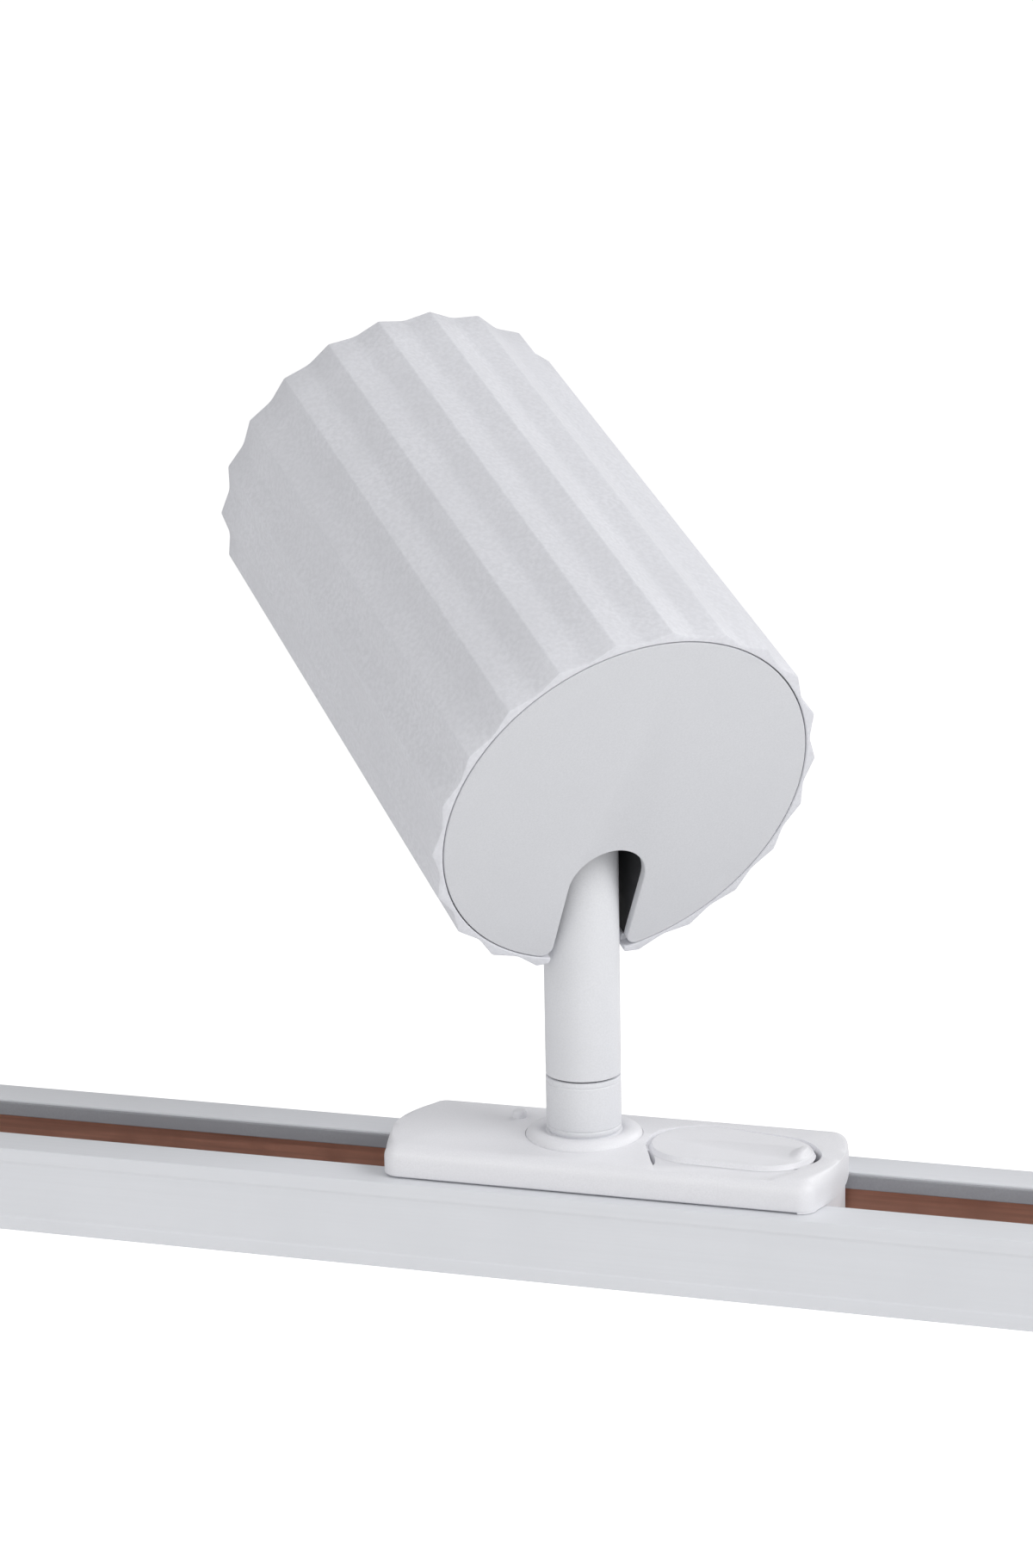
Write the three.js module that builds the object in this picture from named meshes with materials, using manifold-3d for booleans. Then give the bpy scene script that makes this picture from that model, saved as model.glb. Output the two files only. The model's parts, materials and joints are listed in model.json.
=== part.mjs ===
// Track spotlight: a fluted cylindrical LED head that tilts and pans on a short stem.
// The stem stands on an adapter, and a lock lever holds the adapter in a single-circuit track.
//
// Millimetres. X runs along the track, Z is up, away from the surface that the track is screwed to.
// The origin is on the track's back face, under the stem's axis.

import * as THREE from 'three';
import { mergeVertices } from 'three/addons/utils/BufferGeometryUtils.js';
import Module from 'manifold-3d';

const wasm = await Module();
wasm.setup();

// ---------------------------------------------------------------- driving dimensions

const { degToRad } = THREE.MathUtils;

const GAP = 0.3; // clearance between neighbouring pieces

const TRACK = {
  left: -155, right: 125, // the cut ends of the profile
  width: 35.3, height: 15.7,
  channel: 16.46, // width of the slot between the two lips
  web: 1.5, wall: 1.3, lip: 1.3, rib: 1.2, ribTop: 6,
  panelDepth: 0.3, panelMargin: 2.5, // the shallow panel along each outer side
  holeRadius: 2.2, holeX: [-115, 85],
};

// The PVC insulator in each side chamber. Its tongue stands in front of the lip's edge.
const INSULATOR = { depth: 4.2, tongue: 0.7, tongueTop: 15.4, endMargin: 1 };

const STRIP = { inset: 10.3, thickness: 0.8, bottom: 8, top: 12.5, endMargin: 4 };

const COVER = {
  left: -35, right: 46.7, halfWidth: 15.1,
  bottom: TRACK.height + GAP, shoulder: 18.5, edgeTop: 21.5, crownTop: 22,
  endBulge: 1.9, cornerRadius: 3, wall: 2.6, ceiling: 18.1, hollowLeft: -31.9, hollowRight: 42.5,
  seatRadius: 10.8, seatFloor: 20.9,
};
const ABOVE = 25; // clear of everything on the adapter but its stem

const INSERT = {
  left: -33, right: 45.4, halfWidth: 8, bottom: 3, wall: 1.6,
  flangeLeft: -31.6, flangeRight: 42.2, flangeHalfWidth: 11.9, flangeTop: 17.4,
  windowHalf: 8, windowBottom: 7.8, windowTop: 11.2,
};

// The lever is a broad tongue. Its tip, given from the pivot, lies a little towards the near side.
const LEVER = {
  pivotX: 21.7, rootRadius: 9.4, tipRadius: 8.4, tipX: 11.7, tipY: -1.6, clearance: 0.6, turn: degToRad(65),
  floor: 21, bottom: 21.25, top: 21.95,
  nubHeight: 1, nubDepth: 2,
  shaftRadius: 4, shaftBottom: 4.9,
  wingReach: 10, wingWidth: 4.4, wingBottom: 8.2, bladeBottom: 9.6, bladeTop: 10.6, bladeHalfWidth: 1.5,
};
const LEVER_BEARING = Math.atan2(LEVER.tipY, LEVER.tipX); // from the pivot to the middle of the tip
const LEVER_SPAN = Math.hypot(LEVER.tipX, LEVER.tipY);
// Where the tongue's straight edges touch its two round ends, measured from its bearing.
const LEVER_TANGENT = Math.acos((LEVER.rootRadius - LEVER.tipRadius) / LEVER_SPAN);
// The deep slits beside the lever's root and round its tip, which let a fingernail in.
const SLIT = {
  width: 1, floor: 19.3, rootFrom: 0, rootTo: 0.7, tipFrom: degToRad(-58), tipTo: degToRad(32),
};

const STEM = {
  radius: 6.64, edge: 0.3, collarRadius: 10.4, collarTop: 22.7, collarCrown: 23.1, seam: 33,
  nippleRadius: 4, nippleHole: 4.1, nippleBore: 2.6, nippleBottom: 13.5, nippleTop: 43.5,
};

const PIVOT_Z = 74.2;
const HEAD_PAN = degToRad(134.58);
const HEAD_ELEVATION = degToRad(27.78);

// The head's own frame: +X is the way the light shines, +Z is up and the tilt axis is Y, through the origin.
const HEAD = {
  rear: -10.9, length: 101.6, axisZ: 17.2,
  flutes: 22, ridgeRadius: 35.65, fluteDepth: 1.3, fluteFloor: 0.12, firstRidge: degToRad(89.4),
  bore: 32.2, capRadius: 33.4, capThickness: 1.6,
  slotHalfWidth: 7.25, slotCorner: 2,
};
const HEAD_FRONT = HEAD.rear + HEAD.length;
const INNER_RADIUS = HEAD.bore - GAP; // the outer radius of what fits the head's bore

// ---------------------------------------------------------------- finishes

const finish = (color, roughness, metalness = 0) =>
  new THREE.MeshStandardMaterial({ color, roughness, metalness });

const powderCoat = () => finish(0xdcdde0, 0.62);
const trackCoat = () => finish(0xd9dbde, 0.5);
const whitePlastic = () => finish(0xe3e4e6, 0.45);
const greyPvc = () => finish(0x77787c, 0.6);
const blackPlastic = () => finish(0x26282b, 0.7);
const steel = () => finish(0xb4b6b8, 0.35, 1);
const copper = () => finish(0xb06a45, 0.35, 1);
const brass = () => finish(0xc9a653, 0.35, 1);
const bareAluminium = () => finish(0xb9bbbd, 0.45, 1);
const redWire = () => finish(0x8f2a22, 0.5);
const blueWire = () => finish(0x2b4a7c, 0.5);

// ---------------------------------------------------------------- shapes and solids

function polygon(points) {
  return new THREE.Shape(points.map(([x, y]) => new THREE.Vector2(x, y)));
}

function rectangle(x0, y0, x1, y1) {
  return polygon([[x0, y0], [x1, y0], [x1, y1], [x0, y1]]);
}

function disc(radius, x = 0, y = 0) {
  return new THREE.Shape().absarc(x, y, radius, 0, 2 * Math.PI, false);
}

// Extrusions along one axis. The shape's own two axes are (Y, Z), (X, Z) or (X, Y) of the part.
function extrude(shape, depth, curveSegments) {
  return new THREE.ExtrudeGeometry(shape, { depth, curveSegments, bevelEnabled: false });
}

function alongX(shape, from, to, curveSegments = 8) {
  const turn = new THREE.Matrix4().set(0, 0, 1, from, 1, 0, 0, 0, 0, 1, 0, 0, 0, 0, 0, 1);
  return extrude(shape, to - from, curveSegments).applyMatrix4(turn);
}

function alongY(shape, from, to, curveSegments = 8) {
  const turn = new THREE.Matrix4().set(1, 0, 0, 0, 0, 0, -1, to, 0, 1, 0, 0, 0, 0, 0, 1);
  return extrude(shape, to - from, curveSegments).applyMatrix4(turn);
}

function alongZ(shape, from, to, curveSegments = 8) {
  return extrude(shape, to - from, curveSegments).translate(0, 0, from);
}

function block(x0, x1, y0, y1, z0, z1) {
  return new THREE.BoxGeometry(x1 - x0, y1 - y0, z1 - z0)
    .translate((x0 + x1) / 2, (y0 + y1) / 2, (z0 + z1) / 2);
}

// A profile of [radius, height] points, anticlockwise, turned about Z. One that keeps off the axis is closed.
function revolve(profile, segments = 28) {
  const points = profile.map(([r, z]) => new THREE.Vector2(r, z));
  const onAxis = profile[0][0] === 0 && profile[profile.length - 1][0] === 0;
  if (!onAxis) points.push(points[0].clone());
  return new THREE.LatheGeometry(points, segments).rotateX(Math.PI / 2);
}

// The same profile turned about the head's optical axis, with heights along +X.
function revolveInHead(profile, segments = 32) {
  return revolve(profile, segments).rotateY(Math.PI / 2).translate(0, 0, HEAD.axisZ);
}

function tube(inner, outer, z0, z1, segments = 24) {
  return revolve([[inner, z0], [outer, z0], [outer, z1], [inner, z1]], segments);
}

function rod(radius, z0, z1, segments = 20) {
  return new THREE.CylinderGeometry(radius, radius, z1 - z0, segments)
    .rotateX(Math.PI / 2)
    .translate(0, 0, (z0 + z1) / 2);
}

function rodAlongX(radius, x0, x1, segments = 20) {
  return rod(radius, x0, x1, segments).rotateY(Math.PI / 2);
}

function rodAlongY(radius, y0, y1, segments = 20) {
  return rod(radius, -y1, -y0, segments).rotateX(Math.PI / 2);
}

// Wire along a smooth curve through the points.
function wire(points, radius, steps) {
  const path = new THREE.CatmullRomCurve3(points.map((p) => new THREE.Vector3(...p)));
  return new THREE.ExtrudeGeometry(disc(radius), { steps, extrudePath: path, curveSegments: 4 });
}

function toSolid(geometry) {
  const bare = geometry.clone().deleteAttribute('normal').deleteAttribute('uv');
  const merged = mergeVertices(bare, 1e-4);
  return new wasm.Manifold(new wasm.Mesh({
    numProp: 3,
    vertProperties: merged.getAttribute('position').array,
    triVerts: new Uint32Array(merged.index.array),
  }));
}

function toGeometry(solid) {
  const { vertProperties, triVerts } = solid.getMesh();
  return new THREE.BufferGeometry()
    .setAttribute('position', new THREE.BufferAttribute(vertProperties, 3))
    .setIndex(new THREE.BufferAttribute(triVerts, 1));
}

const cut = (body, ...tools) =>
  toGeometry(tools.reduce((solid, tool) => solid.subtract(toSolid(tool)), toSolid(body)));
const join = (body, ...others) =>
  toGeometry(others.reduce((solid, other) => solid.add(toSolid(other)), toSolid(body)));
const common = (body, ...others) =>
  toGeometry(others.reduce((solid, other) => solid.intersect(toSolid(other)), toSolid(body)));

function add(parent, name, geometry, material) {
  const mesh = new THREE.Mesh(geometry, material);
  mesh.name = name;
  parent.add(mesh);
}

const fixture = new THREE.Group();

// ---------------------------------------------------------------- track

// Half of the profile's section, for Y > 0, from the middle of the channel's floor round to the back face.
function trackHalfSection() {
  const half = TRACK.width / 2;
  const channel = TRACK.channel / 2;
  const ribBack = channel + TRACK.rib;
  const chamber = half - TRACK.wall;
  const lipEdge = channel + INSULATOR.tongue + GAP;
  const underLip = TRACK.height - TRACK.lip;
  const panel = half - TRACK.panelDepth;
  const panelTop = TRACK.height - TRACK.panelMargin;
  return [
    [channel, TRACK.web], [channel, TRACK.ribTop], [ribBack, TRACK.ribTop],
    [ribBack, TRACK.web], [chamber, TRACK.web], [chamber, underLip], [lipEdge, underLip],
    [lipEdge, TRACK.height], [half, TRACK.height], [half, panelTop],
    [panel, panelTop - TRACK.panelDepth], [panel, TRACK.panelMargin + TRACK.panelDepth],
    [half, TRACK.panelMargin], [half, 0],
  ];
}

const mirrored = (points) => points.map(([y, z]) => [-y, z]).reverse();

function makeTrackProfile() {
  const half = trackHalfSection();
  const profile = alongX(polygon([...half.toReversed(), ...mirrored(half).toReversed()]),
    TRACK.left, TRACK.right);
  const holes = TRACK.holeX.map((x) => rod(TRACK.holeRadius, -1, 3).translate(x, 0, 0));
  return cut(profile, ...holes);
}

// The PVC insulator in the profile's side chamber. It backs the copper strip and covers the lip's edge.
function insulatorSection(side) {
  const face = TRACK.channel / 2;
  const front = face + TRACK.rib + GAP;
  const back = front + INSULATOR.depth;
  const tongueBack = face + INSULATOR.tongue;
  const seat = STRIP.inset + STRIP.thickness + GAP;
  const bottom = TRACK.web + GAP;
  const top = TRACK.height - TRACK.lip - GAP;
  const points = [
    [front, bottom], [back, bottom], [back, top], [tongueBack, top],
    [tongueBack, INSULATOR.tongueTop], [face, INSULATOR.tongueTop], [face, STRIP.top + GAP],
    [seat, STRIP.top + GAP], [seat, STRIP.bottom - GAP], [front, STRIP.bottom - GAP],
  ];
  return polygon(side > 0 ? points : mirrored(points));
}

function stripSection(side) {
  const near = side * STRIP.inset;
  const far = side * (STRIP.inset + STRIP.thickness);
  return rectangle(Math.min(near, far), STRIP.bottom, Math.max(near, far), STRIP.top);
}

const END_CAP = { plate: 2.4, plug: 7, overlap: 0.5 };

// A moulded cap that covers one end of the profile and plugs into its channel. direction is -1 or 1.
function makeEndCap(direction) {
  const end = direction < 0 ? TRACK.left : TRACK.right;
  const span = (a, b) => [end + direction * a, end + direction * b].sort((p, q) => p - q);
  const half = TRACK.width / 2;
  const plug = TRACK.channel / 2 - GAP;
  const [plate0, plate1] = span(0, END_CAP.plate);
  const [plug0, plug1] = span(-END_CAP.plug, END_CAP.overlap);
  return join(
    alongX(rectangle(-half, 0, half, TRACK.height), plate0, plate1),
    alongX(rectangle(-plug, TRACK.web + GAP, plug, TRACK.height), plug0, plug1),
  );
}

add(fixture, 'track_profile', makeTrackProfile(), trackCoat());
for (const [name, side] of [['near', -1], ['far', 1]]) {
  add(fixture, `insulator_${name}`,
    alongX(insulatorSection(side), TRACK.left + INSULATOR.endMargin, TRACK.right - INSULATOR.endMargin),
    greyPvc());
  add(fixture, `conductor_${name}`,
    alongX(stripSection(side), TRACK.left + STRIP.endMargin, TRACK.right - STRIP.endMargin), copper());
}
add(fixture, 'end_cap_left', makeEndCap(-1), whitePlastic());
add(fixture, 'end_cap_right', makeEndCap(1), whitePlastic());

// ---------------------------------------------------------------- adapter

// The cover seen from above: straight sides, rounded corners and slightly bowed ends.
function coverPlan() {
  const { left, right, halfWidth: w, endBulge: b, cornerRadius: r } = COVER;
  const plan = new THREE.Shape();
  plan.moveTo(left + b + r, -w);
  plan.lineTo(right - b - r, -w);
  plan.quadraticCurveTo(right - b, -w, right - b, r - w);
  plan.quadraticCurveTo(right + b, 0, right - b, w - r);
  plan.quadraticCurveTo(right - b, w, right - b - r, w);
  plan.lineTo(left + b + r, w);
  plan.quadraticCurveTo(left + b, w, left + b, w - r);
  plan.quadraticCurveTo(left - b, 0, left + b, r - w);
  plan.quadraticCurveTo(left + b, -w, left + b + r, -w);
  return plan;
}

// An arch with upright sides, rounded shoulders and a crowned top.
function archSection(low, high, crown) {
  const { bottom, shoulder, edgeTop } = COVER;
  const r = edgeTop - shoulder;
  const arch = new THREE.Shape();
  arch.moveTo(low, bottom);
  arch.lineTo(high, bottom);
  arch.lineTo(high, shoulder);
  arch.absarc(high - r, shoulder, r, 0, Math.PI / 2 - 0.1, false);
  arch.quadraticCurveTo((low + high) / 2, 2 * crown - edgeTop, low + r, edgeTop);
  arch.absarc(low + r, shoulder, r, Math.PI / 2 + 0.1, Math.PI, false);
  return arch;
}

const onCircle = (x, y, radius, angle) => [x + radius * Math.cos(angle), y + radius * Math.sin(angle)];

// The land's left wall, which the lever's edge meets when it is turned right out: its two ends.
function landWall() {
  const { pivotX, rootRadius, tipRadius, clearance, turn } = LEVER;
  const bearing = LEVER_BEARING - turn;
  const edge = bearing - LEVER_TANGENT;
  return [
    onCircle(pivotX, 0, rootRadius + clearance, edge),
    onCircle(...onCircle(pivotX, 0, LEVER_SPAN, bearing), tipRadius + clearance, edge),
  ];
}

function between([x0, y0], [x1, y1], share) {
  return [x0 + (x1 - x0) * share, y0 + (y1 - y0) * share];
}

// The land that the lever lies on, open to the near side so that the lever can swing out.
function leverLandPlan() {
  const { pivotX, rootRadius, tipRadius, tipX, tipY, clearance, turn } = LEVER;
  const root = rootRadius + clearance;
  const swing = LEVER_SPAN + tipRadius + clearance;
  const farEdge = LEVER_BEARING + LEVER_TANGENT;
  const [wallTop, wallFoot] = landWall();
  const land = new THREE.Shape();
  land.moveTo(...between(wallTop, wallFoot, 1.4));
  land.lineTo(...wallTop);
  land.absarc(pivotX, 0, root, LEVER_BEARING - turn - LEVER_TANGENT + 2 * Math.PI, farEdge, true);
  land.absarc(pivotX + tipX, tipY, tipRadius + clearance, farEdge, LEVER_BEARING, true);
  land.absarc(pivotX, 0, swing, LEVER_BEARING, -Math.PI / 3, true);
  return land;
}

function rootSlitPlan() {
  const [wallTop, wallFoot] = landWall();
  const [x0, y0] = between(wallTop, wallFoot, SLIT.rootFrom);
  const [x1, y1] = between(wallTop, wallFoot, SLIT.rootTo);
  return polygon([[x0, y0], [x1, y1], [x1 + SLIT.width, y1], [x0 + SLIT.width, y0]]);
}

function tipSlitPlan() {
  const { pivotX, tipX, tipY, tipRadius } = LEVER;
  const { width, tipFrom, tipTo } = SLIT;
  const slit = new THREE.Shape();
  slit.absarc(pivotX + tipX, tipY, tipRadius + width, tipFrom, tipTo, false);
  slit.absarc(pivotX + tipX, tipY, tipRadius, tipTo, tipFrom, true);
  return slit;
}

function makeCover() {
  const { left, right, halfWidth, wall, ceiling, crownTop, seatRadius, seatFloor, bottom } = COVER;
  const { hollowLeft, hollowRight } = COVER;
  const dome = common(
    alongZ(coverPlan(), bottom, ABOVE, 4),
    alongX(archSection(-halfWidth, halfWidth, crownTop), left - 1, right + 1, 3),
    alongY(archSection(left, right, crownTop), -halfWidth - 1, halfWidth + 1, 3),
  );
  return cut(dome,
    block(hollowLeft, hollowRight, wall - halfWidth, halfWidth - wall, bottom - 1, ceiling),
    alongZ(leverLandPlan(), LEVER.floor, ABOVE, 12),
    alongZ(rootSlitPlan(), SLIT.floor, ABOVE),
    alongZ(tipSlitPlan(), SLIT.floor, ABOVE, 10),
    rod(seatRadius, seatFloor, ABOVE, 32),
    rod(STEM.nippleHole, bottom, ABOVE),
    rod(LEVER.shaftRadius + GAP, bottom, ABOVE).translate(LEVER.pivotX, 0, 0),
  );
}

// The plastic body that drops into the channel. Windows in its sides let the rotor's contacts out.
function makeInsert() {
  const { left, right, halfWidth, bottom, wall } = INSERT;
  const { flangeLeft, flangeRight, flangeHalfWidth, flangeTop, windowHalf, windowBottom, windowTop } = INSERT;
  const { pivotX } = LEVER;
  const shell = join(
    block(left, right, -halfWidth, halfWidth, bottom, COVER.bottom),
    block(flangeLeft, flangeRight, -flangeHalfWidth, flangeHalfWidth, COVER.bottom - 0.01, flangeTop),
  );
  return cut(shell,
    block(left + wall, right - wall, wall - halfWidth, halfWidth - wall, bottom + wall, ABOVE),
    block(pivotX - windowHalf, pivotX + windowHalf, -halfWidth - 1, halfWidth + 1, windowBottom, windowTop),
  );
}

function hexagon(acrossFlats) {
  const corner = acrossFlats / Math.sqrt(3);
  const corners = Array.from({ length: 6 }, (_, i) => (i * Math.PI) / 3);
  return polygon(corners.map((a) => [corner * Math.cos(a), corner * Math.sin(a)]));
}

function makeNut({ acrossFlats, bottom, top }) {
  return cut(alongZ(hexagon(acrossFlats), bottom, top), rod(STEM.nippleHole, bottom - 1, top + 1));
}

const LOCK_NUT = { acrossFlats: 12, bottom: 14.4, top: COVER.ceiling };
const PAN_NUT = { acrossFlats: 8.8, bottom: 39.5, top: 42.4 };
const PAN_WASHER = { inner: 4.3, outer: 5.2, bottom: 38.8, top: 39.2 };

// A ring swollen like a torus, with a flat seat for the sleeve inside it.
function makeCollar() {
  const { collarRadius: r, collarTop: seat, collarCrown: crown, nippleHole, radius } = STEM;
  const foot = COVER.seatFloor;
  return revolve([
    [nippleHole, foot], [r, foot], [r, foot + 0.8], [r - 0.4, foot + 1.6], [r - 1.2, crown - 0.1],
    [r - 2, crown], [r - 2.7, crown - 0.1], [radius + 0.2, seat], [nippleHole, seat],
  ], 32);
}

// The fixed sleeve under the pan joint. The groove in its top end guides the arm's stop pin.
const STOP = { radius: 5.3, pinRadius: 0.5, grooveHalf: 0.65, depth: 1.4, webHalfAngle: 0.045 };

function makeSleeve() {
  const { radius, collarTop, seam, nippleHole, edge } = STEM;
  const top = seam - GAP / 2;
  const body = revolve([
    [nippleHole, collarTop], [radius - edge, collarTop], [radius, collarTop + edge],
    [radius, top - edge], [radius - edge, top], [nippleHole, top],
  ], 32);
  const groove = new THREE.Shape();
  const from = HEAD_PAN + Math.PI + STOP.webHalfAngle;
  const to = from + 2 * (Math.PI - STOP.webHalfAngle);
  groove.absarc(0, 0, STOP.radius + STOP.grooveHalf, from, to, false);
  groove.absarc(0, 0, STOP.radius - STOP.grooveHalf, to, from, true);
  return cut(body, alongZ(groove, top - STOP.depth, top + 1, 14));
}

const PEG = { x: -13.8, y: 5.6, radius: 1.25, height: 1.3, chamfer: 0.4 };

function makePeg() {
  const { x, y, radius, height, chamfer } = PEG;
  const foot = COVER.crownTop;
  const top = foot + height;
  return revolve([[0, foot], [radius, foot], [radius, top - chamfer], [radius - chamfer, top], [0, top]], 20)
    .translate(x, y, 0);
}

const TERMINAL = { left: 7.5, right: 17.2, inner: 2.7, thickness: 0.5, bottom: 13.2, top: 15.2 };

function makeTerminal(side) {
  const { left, right, inner, thickness, bottom, top } = TERMINAL;
  const faces = [side * inner, side * (inner + thickness)].sort((a, b) => a - b);
  return block(left, right, faces[0], faces[1], bottom, top);
}

const LEAD = { offset: 1.1, radius: 0.8 };

function makeAdapterLead(side) {
  const start = STEM.nippleBottom - GAP;
  return wire([
    [side * LEAD.offset, 0, start], [side * LEAD.offset, side * 0.4, 11.6], [2.4, side * 1.8, 10.2],
    [4.6, side * 2.8, 11.2], [6.3, side * 2.95, 13.4], [7, side * 2.95, 14.4],
  ], 0.6, 14);
}

const adapter = new THREE.Group();
fixture.add(adapter);
add(adapter, 'adapter_cover', makeCover(), whitePlastic());
add(adapter, 'adapter_insert', makeInsert(), whitePlastic());
add(adapter, 'locating_peg', makePeg(), whitePlastic());
add(adapter, 'stem_collar', makeCollar(), whitePlastic());
add(adapter, 'stem_sleeve', makeSleeve(), powderCoat());
add(adapter, 'stem_nipple',
  tube(STEM.nippleBore, STEM.nippleRadius, STEM.nippleBottom, STEM.nippleTop), steel());
add(adapter, 'stem_lock_nut', makeNut(LOCK_NUT), steel());
add(adapter, 'pan_washer',
  tube(PAN_WASHER.inner, PAN_WASHER.outer, PAN_WASHER.bottom, PAN_WASHER.top), brass());
add(adapter, 'pan_nut', makeNut(PAN_NUT), steel());
for (const [name, side] of [['near', -1], ['far', 1]]) {
  add(adapter, `terminal_${name}`, makeTerminal(side), brass());
}
add(adapter, 'adapter_lead_near', makeAdapterLead(-1), blueWire());
add(adapter, 'adapter_lead_far', makeAdapterLead(1), redWire());

// ---------------------------------------------------------------- lock lever

function leverPlan() {
  const { rootRadius, tipRadius, tipX, tipY } = LEVER;
  const farEdge = LEVER_BEARING + LEVER_TANGENT;
  const nearEdge = LEVER_BEARING - LEVER_TANGENT;
  const plan = new THREE.Shape();
  plan.absarc(0, 0, rootRadius, farEdge, nearEdge + 2 * Math.PI, false);
  plan.absarc(tipX, tipY, tipRadius, nearEdge, farEdge, false);
  return plan;
}

// The tongue with a raised nub for a fingernail along the end of its tip.
function makeLever() {
  const { bottom, top, nubHeight, nubDepth, tipX, tipY, tipRadius } = LEVER;
  const embedded = 0.4;
  const nubRing = tube(tipRadius - nubDepth, tipRadius, top - embedded, top + nubHeight, 40);
  const nub = common(
    nubRing.translate(tipX, tipY, 0),
    block(tipX + tipRadius * 0.8, tipX + tipRadius + 1, -tipRadius, tipRadius, bottom, top + nubHeight + 1),
  );
  return join(alongZ(leverPlan(), bottom, top, 12), nub);
}

function makeRotor() {
  const { shaftRadius, shaftBottom, bottom, wingReach, wingWidth, wingBottom, bladeBottom } = LEVER;
  return join(
    rod(shaftRadius, shaftBottom, bottom, 24),
    block(-wingWidth / 2, wingWidth / 2, -wingReach, wingReach, wingBottom, bladeBottom - 0.2),
  );
}

// A flat copper contact on the rotor's wing, from the shaft out to the strip.
function makeBlade(side) {
  const { shaftRadius, wingReach, bladeBottom, bladeTop, bladeHalfWidth } = LEVER;
  const ends = [side * (shaftRadius + 0.2), side * wingReach].sort((a, b) => a - b);
  return block(-bladeHalfWidth, bladeHalfWidth, ends[0], ends[1], bladeBottom, bladeTop);
}

const lever = new THREE.Group();
lever.position.set(LEVER.pivotX, 0, 0);
adapter.add(lever);
add(lever, 'lock_lever', makeLever(), whitePlastic());
add(lever, 'lever_rotor', makeRotor(), blackPlastic());
add(lever, 'contact_blade_near', makeBlade(-1), copper());
add(lever, 'contact_blade_far', makeBlade(1), copper());

// ---------------------------------------------------------------- arm, above the pan joint

const ARM = { foot: STEM.seam + GAP / 2, shoulder: 38.5, boreRadius: 5.4, boreTop: 62, exitRadius: 2.5 };
const SCREW = { radius: 2, hole: 2.08, tip: 3.4, headRadius: 3.6, headHeight: 2.2 };

function makeArm() {
  const { foot, shoulder, boreRadius, boreTop, exitRadius } = ARM;
  const r = STEM.radius;
  const domeSteps = 5;
  const dome = Array.from({ length: domeSteps + 1 }, (_, i) => {
    const angle = (i / domeSteps) * (Math.PI / 2);
    return [i === domeSteps ? 0 : r * Math.cos(angle), PIVOT_Z + r * Math.sin(angle)];
  });
  const outside = revolve([[0, foot], [r - STEM.edge, foot], [r, foot + STEM.edge], ...dome], 32);
  const inside = revolve([
    [0, foot - 1], [STEM.nippleHole, foot - 1], [STEM.nippleHole, shoulder],
    [boreRadius, shoulder], [boreRadius, boreTop], [exitRadius, boreTop + 3],
    [exitRadius, PIVOT_Z + 10], [0, PIVOT_Z + 10],
  ], 20);
  const screwHole = rodAlongY(SCREW.hole, SCREW.tip - 0.2, 10).translate(0, 0, PIVOT_Z);
  const pinHole = rod(STOP.pinRadius + 0.1, foot - 1, foot + 3, 16).translate(STOP.radius, 0, 0);
  return cut(outside, inside, pinHole, screwHole, screwHole.clone().rotateZ(Math.PI));
}

const arm = new THREE.Group();
arm.rotation.z = HEAD_PAN;
fixture.add(arm);
add(arm, 'arm_tube', makeArm(), powderCoat());
add(arm, 'pan_stop_pin', rod(STOP.pinRadius, ARM.foot - 1.3, ARM.foot + 2.8, 16).translate(STOP.radius, 0, 0),
  steel());
for (const [name, side, colour] of [['near', -1, blueWire], ['far', 1, redWire]]) {
  const lead = rod(LEAD.radius, STEM.nippleBottom + GAP, PIVOT_Z + 9.2, 12);
  add(arm, `arm_lead_${name}`, lead.translate(side * LEAD.offset, 0, 0), colour());
}

// ---------------------------------------------------------------- head: housing and cap

// The fluted outline across the head, centred on its axis: shallow V grooves, each with a narrow flat floor.
function fluteOutline() {
  const { flutes, ridgeRadius, fluteDepth, fluteFloor, firstRidge } = HEAD;
  const pitch = (2 * Math.PI) / flutes;
  const valleyRadius = ridgeRadius - fluteDepth;
  const points = [];
  for (let flute = 0; flute < flutes; flute++) {
    const ridge = firstRidge + flute * pitch;
    const valleySides = [(1 - fluteFloor) / 2, (1 + fluteFloor) / 2].map((share) => ridge + share * pitch);
    points.push([ridgeRadius * Math.cos(ridge), ridgeRadius * Math.sin(ridge)]);
    for (const angle of valleySides) {
      points.push([valleyRadius * Math.cos(angle), valleyRadius * Math.sin(angle)]);
    }
  }
  return polygon(points);
}

// The arm's slot, seen along the head's Z: open at the rear, round at its front end.
function slotPlan(halfWidth) {
  const plan = new THREE.Shape();
  plan.moveTo(HEAD.rear - 5, -halfWidth);
  plan.lineTo(0, -halfWidth);
  plan.absarc(0, 0, halfWidth, -Math.PI / 2, Math.PI / 2, false);
  plan.lineTo(HEAD.rear - 5, halfWidth);
  return plan;
}

function makeHousing() {
  const { rear, bore, capRadius, capThickness, axisZ } = HEAD;
  const centred = (radius, x0, x1) => rodAlongX(radius, x0, x1, 48).translate(0, 0, axisZ);
  return cut(
    alongX(fluteOutline(), rear, HEAD_FRONT).translate(0, 0, axisZ),
    centred(bore, rear - 1, HEAD_FRONT + 1),
    centred(capRadius + GAP, rear - 1, rear + capThickness + GAP),
    alongZ(slotPlan(HEAD.slotHalfWidth), -30, 0, 8),
  );
}

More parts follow.
